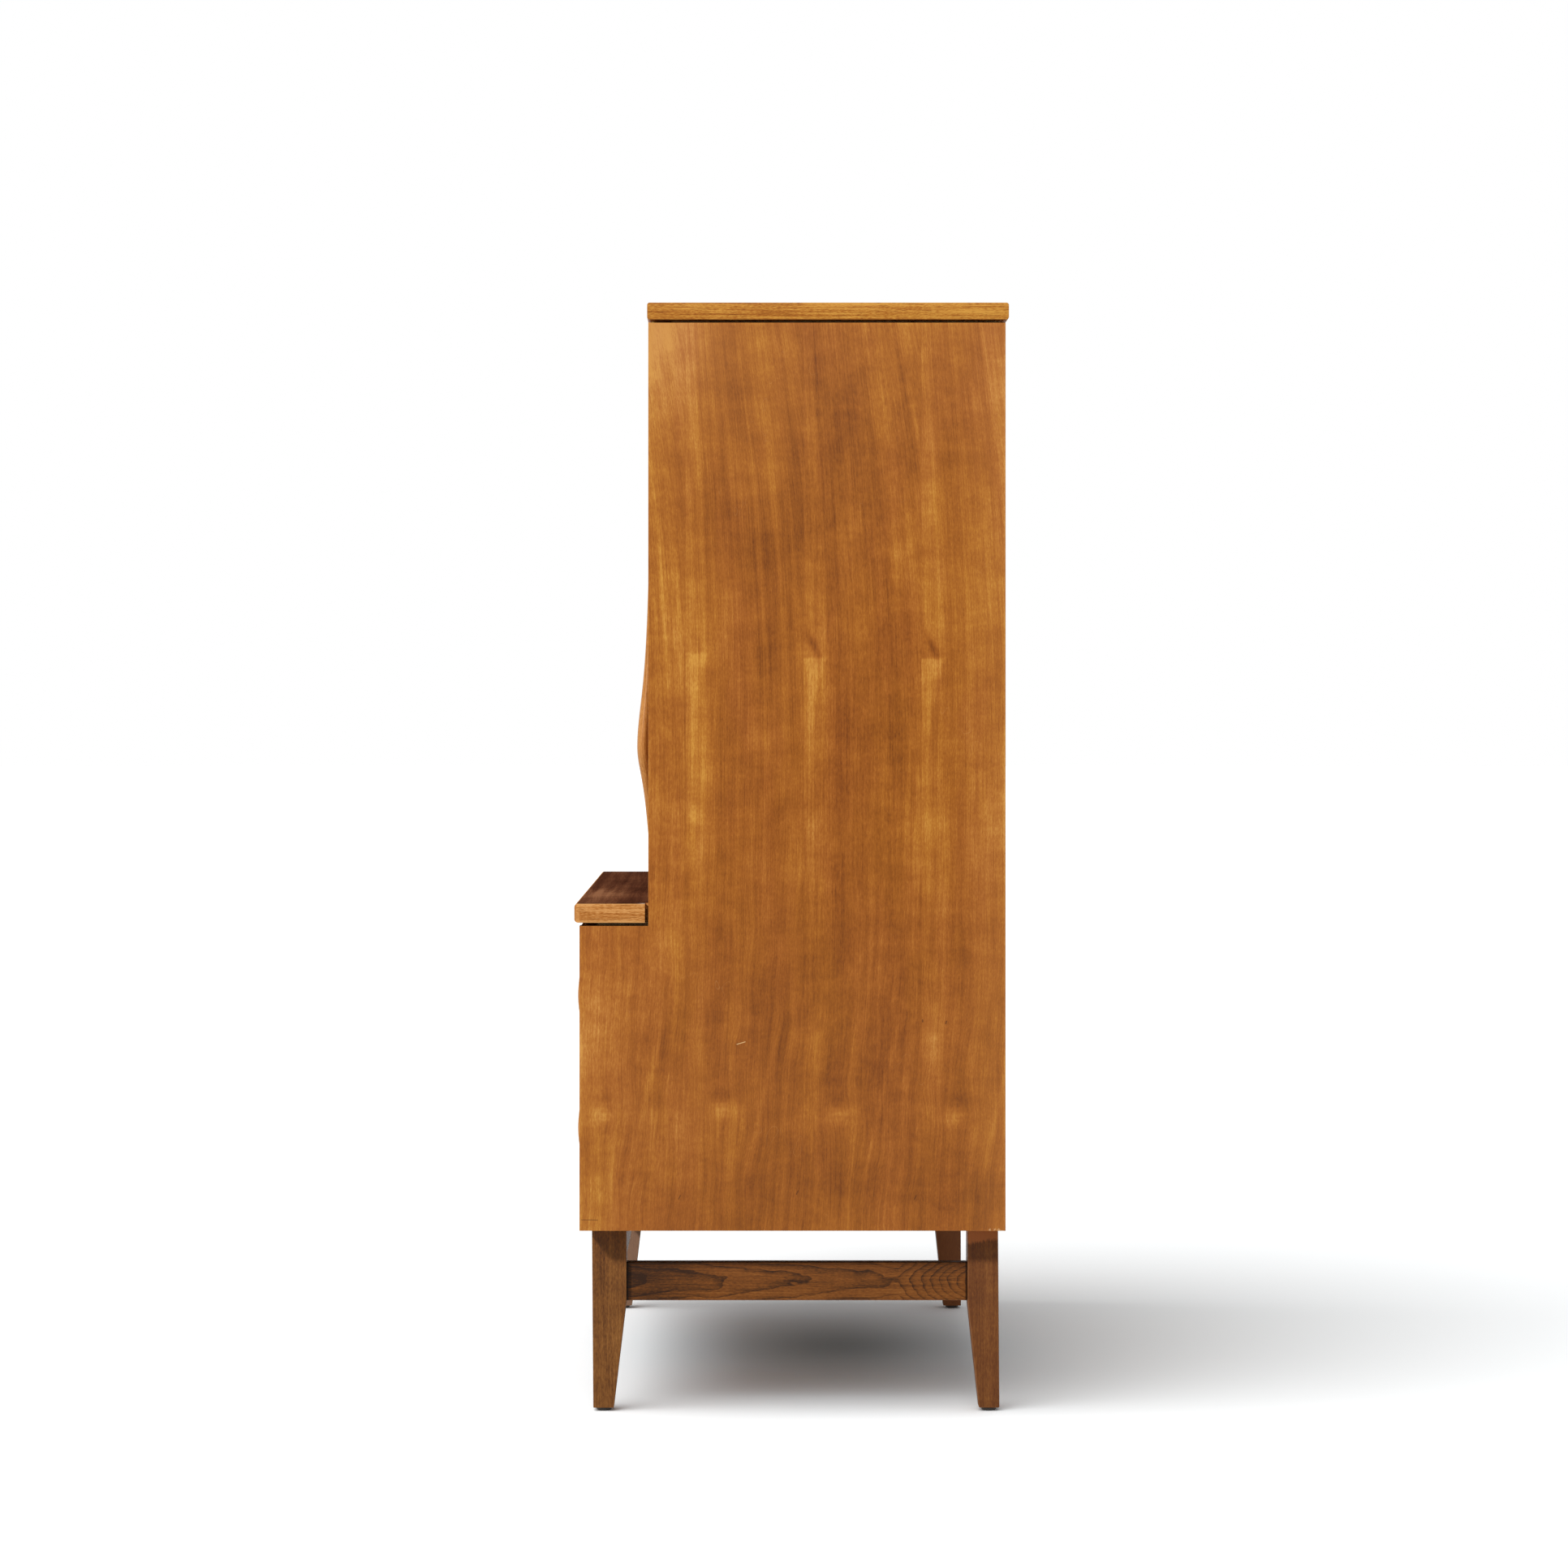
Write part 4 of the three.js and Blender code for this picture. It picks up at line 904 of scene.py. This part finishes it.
def pull_rows(section, face, inner, side, pull):
    """The skin of a pull. Its thickness is base plus rise times a bell, and its half width is stem plus the
    rest times the same bell. Both fade to nothing at the tips as the root of one less the fifth power of the
    share of the reach. The bell is 1 over 1 plus the square of the distance from the swell in spreads."""
    turn = np.linspace(-1, 1, PULL_ROWS)
    share = np.sin(turn * np.pi / 2)
    offset = np.where(share > 0, share * pull["up"], share * pull["down"])
    spread = np.where(share > 0, pull["above"], pull["below"])
    bell = 1 / (1 + (offset / spread) ** 2)
    fade = np.sqrt(np.clip(1 - np.abs(share) ** PULL_FADE_POWER, 0, 1))
    thickness = (PULL_BASE + pull["rise"] * bell) * fade
    half = (pull["stem"] + (pull["half"] - pull["stem"]) * bell) * fade
    within = np.clip(section, -1.0, 1.0)
    x = side * (inner + within[None, :, 0] * half[:, None])
    y = face - within[None, :, 1] * thickness[:, None]
    z = np.broadcast_to((pull["swell"] + offset)[:, None], x.shape)
    return np.stack([x, y, z], -1)


def back_run(end, steps):
    """Points of a section against the door, between the heel of the pull and an end."""
    across = np.linspace(PULL_HEEL, end, steps, endpoint=False)[1:]
    return np.stack([across, np.zeros_like(across)], -1)


def door_pull(side_name, side, material):
    """One leaf of the pair on the doors: flat at the meeting edge and against the door."""
    thickness = np.linspace(0.0, PULL_SHARES[0][1], MEETING_STEPS, endpoint=False)
    meeting = np.stack([np.zeros_like(thickness), thickness], -1)
    section = np.vstack([meeting, through(PULL_SHARES, CURVE_STEPS), back_run(0.0, DOOR_BACK_STEPS)])
    low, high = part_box(f"{side_name}_door")
    rows = pull_rows(section, low.y, low.x if side > 0 else -high.x, side, DOOR_PULL)
    node = f"{side_name}_door_pull"
    finer(node, "carved", skin(f"{node}_carved", rows), material)


def drawer_pull(level, material):
    """Both leaves in one, on a drawer front."""
    half = np.array(PULL_SHARES[2:])
    whole = np.vstack([half[::-1] * [-1, 1], [[0.0, JOINED_THICKNESS]], half])
    section = np.vstack([through(whole, CURVE_STEPS), back_run(-PULL_HEEL, DRAWER_BACK_STEPS)])
    low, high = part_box(f"{level}_drawer_front")
    swell = mid_height((low, high)) - DRAWER_PULL["drop"]
    up = high.z - DRAWER_PULL["tip_gap"] - swell
    down = swell - low.z - DRAWER_PULL["tip_gap"]
    rows = pull_rows(section, low.y, 0.0, 1, {**DRAWER_PULL, "swell": swell, "up": up, "down": down})
    node = f"{level}_drawer_pull"
    finer(node, "carved", skin(f"{node}_carved", rows), material)


def lathe_rows(profile, center, axis, steps):
    """Rows of a turned shell: a profile of radius and height carried round an axis along Z or Y."""
    radius, level = np.asarray(profile, float).T[:, :, None]
    angle = np.linspace(0, 2 * np.pi, steps, endpoint=False)
    first, second = radius * np.cos(angle), radius * np.sin(angle)
    level = np.broadcast_to(level, first.shape)
    return np.stack((first, second, level) if axis == "z" else (second, level, first), -1) + center


SCREW_RADIUS = 0.0038
SCREW_RISE = 0.0012
SLOT_HALF = 0.0005
SLOT_DEPTH = 0.0008
SCREW_ROWS = 15
SCREW_SHARES = np.array([1.0, 0.8, 0.45, 0.0])
SEATED = 0.0001
FACINGS = {"back": ([1, 0, 0], [0, 0, 1], [0, 1, 0]), "down": ([1, 0, 0], [0, 1, 0], [0, 0, -1])}
FIRST_TURN = 0.4
NEXT_TURN = 1.9
# Screws of the pulls, above the swell and in from the meeting edge, and of the catch, in shares of its half
DOOR_SCREWS = (-0.05, 0.07, 0.2)
DRAWER_SCREWS = (0.0, 0.05)
DOOR_SCREW_INSET = DOOR_PULL["stem"] * 1.2
CATCH_SCREWS = (-0.6, 0.6)


def slotted_head(center, facing, turn):
    """Rows of a domed screw head with a straight slot, turned about the axis that it faces along. Its height
    is the rise times the root of one less the square of the share of the radius, and lower in the slot."""
    along = np.sin(np.linspace(-1, 1, SCREW_ROWS) * np.pi / 2)[:, None] * SCREW_RADIUS
    half = np.sqrt(np.clip(SCREW_RADIUS ** 2 - along ** 2, 0, None))
    slot = np.minimum(SLOT_HALF, half)
    outer = slot + (half - slot) * SCREW_SHARES
    across = np.hstack([-outer, -slot, slot, outer[:, ::-1]])
    share = np.clip((along ** 2 + across ** 2) / SCREW_RADIUS ** 2, 0, 1)
    height = np.sqrt(1 - share) * SCREW_RISE
    floor = len(SCREW_SHARES)
    height[:, floor:floor + 2] = np.maximum(height[:, floor:floor + 2] - SLOT_DEPTH, 0)
    height[:, [0, -1]] = -SEATED
    first = along * math.cos(turn) - across * math.sin(turn)
    second = along * math.sin(turn) + across * math.cos(turn)
    axes = np.array(FACINGS[facing], float)
    return np.stack([first, second, height], -1) @ axes + np.asarray(center)


def screws(name, body, facing, centers, material):
    """Domed screws in one piece, each with its slot at an angle of its own."""
    turns = FIRST_TURN + NEXT_TURN * np.arange(len(centers))
    shells = [slotted_head(center, facing, turn) for center, turn in zip(centers, turns)]
    add_piece(name, skin(name, *shells), material, body, "steel")


NAIL_RADIUS = 0.0021
NAIL_PROFILE = [(0.0, -0.2), (0.9, -0.2), (1.0, 0.05), (0.9, 0.22), (0.5, 0.3), (0.0, 0.32)]
NAIL_STEPS = 10
NAIL_INSET = 0.008
NAIL_PITCH = 0.15


def nail_places():
    """Places round the back panel and along the middle deck, about one pitch apart."""
    low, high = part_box("back_panel")
    reach = high.x - NAIL_INSET
    bottom, top, deck = low.z + NAIL_INSET, high.z - NAIL_INSET, mid_height(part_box("middle_deck"))
    lengthwise = np.linspace(-reach, reach, round(2 * reach / NAIL_PITCH) + 1)
    upright = np.linspace(bottom, top, round((top - bottom) / NAIL_PITCH) + 1)[1:-1]
    rows = [np.stack([lengthwise, np.full_like(lengthwise, level)], -1) for level in (bottom, deck, top)]
    columns = [np.stack([np.full_like(upright, side * reach), upright], -1) for side in (-1, 1)]
    flat = np.vstack(rows + columns)
    return np.stack([flat[:, 0], np.full(len(flat), high.y), flat[:, 1]], -1)


def build_small_fixings(look):
    """Nails in the back panel, and the screws that hold the pulls and the catch."""
    profile = np.array(NAIL_PROFILE) * NAIL_RADIUS
    heads = [lathe_rows(profile, center, "y", NAIL_STEPS) for center in nail_places()]
    add_piece("back_panel_nails", skin("back_panel_nails", *heads), look["steel"], "case", "steel")
    for side_name, side in SIDES.items():
        low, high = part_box(f"{side_name}_door")
        inner = (low.x if side > 0 else high.x) + side * DOOR_SCREW_INSET
        centers = [(inner, high.y, DOOR_PULL["swell"] + offset) for offset in DOOR_SCREWS]
        screws(f"{side_name}_door_pull_screws", f"{side_name}_door", "back", centers, look["steel"])
    for level in LEVELS:
        low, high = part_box(f"{level}_drawer_front")
        swell = mid_height((low, high)) - DRAWER_PULL["drop"]
        centers = [(0.0, high.y, swell + offset) for offset in DRAWER_SCREWS]
        screws(f"{level}_drawer_pull_screws", f"{level}_drawer", "back", centers, look["steel"])
    low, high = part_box("magnetic_catch")
    centers = [(share * high.x, (low.y + high.y) / 2, low.z) for share in CATCH_SCREWS]
    screws("catch_screws", "case", "down", centers, look["steel"])


def build_materials():
    """Every finish by name."""
    upper, lower = (mid_height(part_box(f"{level}_drawer_front")) + CASE_FRONT for level in ("upper", "lower"))
    return {
        "sides": side_veneer(),
        "doors": front_veneer("door_veneer", start=0.0, width=0.1558, seed=3.1),
        "upper_front": lying_veneer("upper_drawer_veneer", 4.2, upper),
        "lower_front": lying_veneer("lower_drawer_veneer", 4.9, lower),
        "inner": lying_veneer("inner_veneer", 6.3, middle=1.4),
        "top": slab_wood("top_slab_wood", HONEY, HONEY, 8.2, dust=0.0, end_lift=0.3, shine=0.15),
        "ledge": slab_wood("ledge_slab_wood", SHADED_FACE, TAN_EDGE, 9.6, dust=1.0, end_lift=0.38, shine=0.0),
        "legs": leg_wood(),
        "side_stretchers": stretcher_wood("side_stretcher_wood", "y", 2.2),
        "front_stretcher": stretcher_wood("front_stretcher_wood", "x", 3.4),
        "pulls": pull_wood(),
        "box_deep": box_wood("box_wood_deep", "y", 1.1),
        "box_wide": box_wood("box_wood_wide", "x", 2.7),
        "back": back_board("back_panel_board", tint(146, 106, 66), tint(96, 64, 38)),
        "bottoms": back_board("drawer_bottom_board", tint(170, 130, 84), tint(122, 88, 52)),
        "brass": metal("hinge_brass", tint(214, 176, 98), tint(142, 104, 50), 0.3),
        "steel": metal("plated_steel", tint(190, 190, 188), tint(128, 126, 122), 0.34),
        "plastic": moulded("catch_plastic", tint(52, 38, 30), tint(86, 68, 56), 0.45),
        "glide": moulded("glide_plastic", tint(36, 28, 24), tint(78, 66, 58), 0.4),
    }


def build_boards(look):
    """Every board and plate of the frame with its arrises eased, by finish."""
    groups = [
        ("sides", 0.0010, [f"{side}_side_panel" for side in SIDES]),
        ("doors", 0.0012, [f"{side}_door" for side in SIDES]),
        ("upper_front", 0.0012, ["upper_drawer_front"]),
        ("lower_front", 0.0012, ["lower_drawer_front"]),
        ("inner", 0.0008, ["fixed_shelf", "loose_shelf", "bottom_panel"]),
        ("top", 0.0012, ["top_slab"]),
        ("ledge", 0.0012, ["ledge_slab"]),
        ("legs", 0.0015, [f"{row}_{side}_leg" for row in ROWS for side in SIDES]),
        ("side_stretchers", 0.0012, [f"{side}_side_stretcher" for side in SIDES]),
        ("front_stretcher", 0.0012, ["front_stretcher"]),
        ("box_deep", 0.0008, [f"{level}_drawer_{side}_side" for level in LEVELS for side in SIDES]),
        ("box_deep", 0.0008, [f"{level}_drawer_guide" for level in LEVELS]),
        ("box_wide", 0.0008, [f"{level}_drawer_back" for level in LEVELS]),
        ("box_wide", 0.0008, ["front_drawer_rail", "rear_drawer_rail", "sub_top", "middle_deck"]),
        ("back", 0.0004, ["back_panel"]),
        ("bottoms", 0.0004, [f"{level}_drawer_bottom" for level in LEVELS]),
        ("brass", 0.0002, [f"{side}_{leaf}_leaf" for side in SIDES for leaf in HINGE_LEAVES]),
        ("steel", 0.0002, [f"{side}_strike" for side in SIDES]),
        ("plastic", 0.0015, ["magnetic_catch"]),
    ]
    for finish, ease, names in groups:
        for name in names:
            eased(name, ease, look[finish])


GLIDE_FLAT = 0.006
GLIDE_RIM = (0.003, 0.0018)
GLIDE_RIM_STEPS = 7
GLIDE_DISC = [(0.009, 0.0038), (0.0088, 0.004), (0.0015, 0.004)]
GLIDE_PIN = 0.0015
GLIDE_POINT = 0.0005
GLIDE_STEPS = 48


def glide_profile(top):
    """Radius and height along a glide: a disc with a rounded lower rim, under a pin with a short point."""
    bend = np.linspace(0, np.pi / 2, GLIDE_RIM_STEPS)
    rim = np.stack([GLIDE_FLAT + GLIDE_RIM[0] * np.sin(bend), GLIDE_RIM[1] * (1 - np.cos(bend))], -1)
    pin = [(GLIDE_PIN, top - GLIDE_POINT), (0.0, top)]
    return np.vstack([[(0.0, 0.0), (GLIDE_FLAT / 2, 0.0)], rim, GLIDE_DISC, pin])


def build_round_fittings(look):
    """Glides as smooth as a lathe leaves them, and the metal of the leg bolts and shelf pins."""
    for row in ROWS:
        for side in SIDES:
            node = f"{row}_{side}_glide"
            low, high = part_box(node)
            center = ((low.x + high.x) / 2, (low.y + high.y) / 2, 0.0)
            rows = lathe_rows(glide_profile(high.z), center, "z", GLIDE_STEPS)
            finer(node, "turned", skin(f"{node}_turned", rows), look["glide"])
            for fitting, finish in (("leg_bolt", "steel"), ("shelf_pin", "brass")):
                materials = frame["nodes"][f"{row}_{side}_{fitting}"].data.materials
                materials.clear()
                materials.append(look[finish])


def seen_directly(tree):
    """1 for rays from the camera, in reflections and through glass, and 0 for rays that gather light."""
    path = tree.nodes.new("ShaderNodeLightPath")
    kinds = ("Camera", "Glossy", "Transmission")
    return sum(Field(tree, path.outputs[f"Is {kind} Ray"]) for kind in kinds).least(1.0)


def key_lamp(name, direction, strength, spread, floor, state):
    """A far lamp of a given spread, which lights the floor alone or everything but the floor."""
    lamp = bpy.data.lights.new(name, "SUN")
    lamp.energy = strength
    lamp.angle = spread
    lamp_object = in_scene(name, lamp)
    down = np.array(direction)
    heading = math.atan2(-down[0], down[1])
    tilt = math.acos(-down[2] / np.linalg.norm(down))
    lamp_object.rotation_euler = (tilt, 0.0, heading)
    receivers = bpy.data.collections.new(f"{name}_receivers")
    receivers.objects.link(floor)
    lamp_object.light_linking.receiver_collection = receivers
    receivers.collection_objects[0].light_linking.link_state = state


def floor_paper():
    """Matte white paper. The camera sees it painted cooler under the case, with a painted shadow deepening the
    middle of the shadow.
    """
    paper = bpy.data.materials.new("floor_paper")
    paper.use_nodes = True
    tree = paper.node_tree
    tree.nodes.clear()
    x, y = split(make(tree, "ShaderNodeTexCoord", {}, output="Object"))[:2]
    # Painted: cooler and less red under the case against the warm bounced light, and a painted shadow in the
    # middle
    seen = blend(oval(x, y, UNDER_PLACE, UNDER_REACH), FLOOR_SEEN + (1.0,), UNDER_SEEN + (1.0,))
    seen = blend(oval(x, y, CORE_PLACE, CORE_REACH) * CORE_DEPTH, seen, (0.0, 0.0, 0.0, 1.0))
    shade = blend(seen_directly(tree), (FLOOR_BOUNCE,) * 3 + (1.0,), seen)
    matte = make(tree, "ShaderNodeBsdfDiffuse", {"Color": shade})
    feed(tree.nodes.new("ShaderNodeOutputMaterial"), {"Surface": matte})
    return paper


def build_floor():
    """A wide round floor of paper."""
    mesh = bpy.data.meshes.new("floor")
    turn = np.linspace(0, 2 * np.pi, FLOOR_SIDES, endpoint=False)
    rim = np.stack([np.cos(turn), np.sin(turn), np.zeros(FLOOR_SIDES)], -1) * FLOOR_RADIUS
    mesh.from_pydata(rim.tolist(), [], [list(range(FLOOR_SIDES))])
    mesh.materials.append(floor_paper())
    floor = in_scene("floor", mesh)
    return floor


def build_sky():
    """An even sky, which the camera sees as white."""
    world = bpy.data.worlds.new("studio")
    bpy.context.scene.world = world
    world.use_nodes = True
    strength = seen_directly(world.node_tree) * (1.0 - SKY_STRENGTH) + SKY_STRENGTH
    feed(world.node_tree.nodes["Background"], {"Strength": strength, "Color": (1.0, 1.0, 1.0, 1.0)})


def build_camera():
    """The camera, as the photograph has it."""
    camera = bpy.data.cameras.new("camera")
    camera.lens = CAMERA_LENS
    camera.sensor_width = CAMERA_SENSOR
    camera.shift_x, camera.shift_y = CAMERA_SHIFT
    camera.clip_end = 200.0
    camera_object = in_scene("camera", camera)
    camera_object.location = CAMERA_PLACE
    camera_object.rotation_euler = (math.radians(90), 0.0, math.radians(90))
    bpy.context.scene.camera = camera_object
    bpy.context.scene.view_settings.view_transform = "Standard"


floor = build_floor()
build_sky()
key_lamp("key", KEY_DIRECTION, KEY_STRENGTH, KEY_SPREAD, floor, "EXCLUDE")
key_lamp("floor_key", FLOOR_KEY_DIRECTION, FLOOR_KEY_STRENGTH, FLOOR_KEY_SPREAD, floor, "INCLUDE")
build_camera()
looks = build_materials()
build_boards(looks)
build_round_fittings(looks)
for name, sign in SIDES.items():
    door_pull(name, sign, looks["pulls"])
for name in LEVELS:
    drawer_pull(name, looks["pulls"])
build_small_fixings(looks)
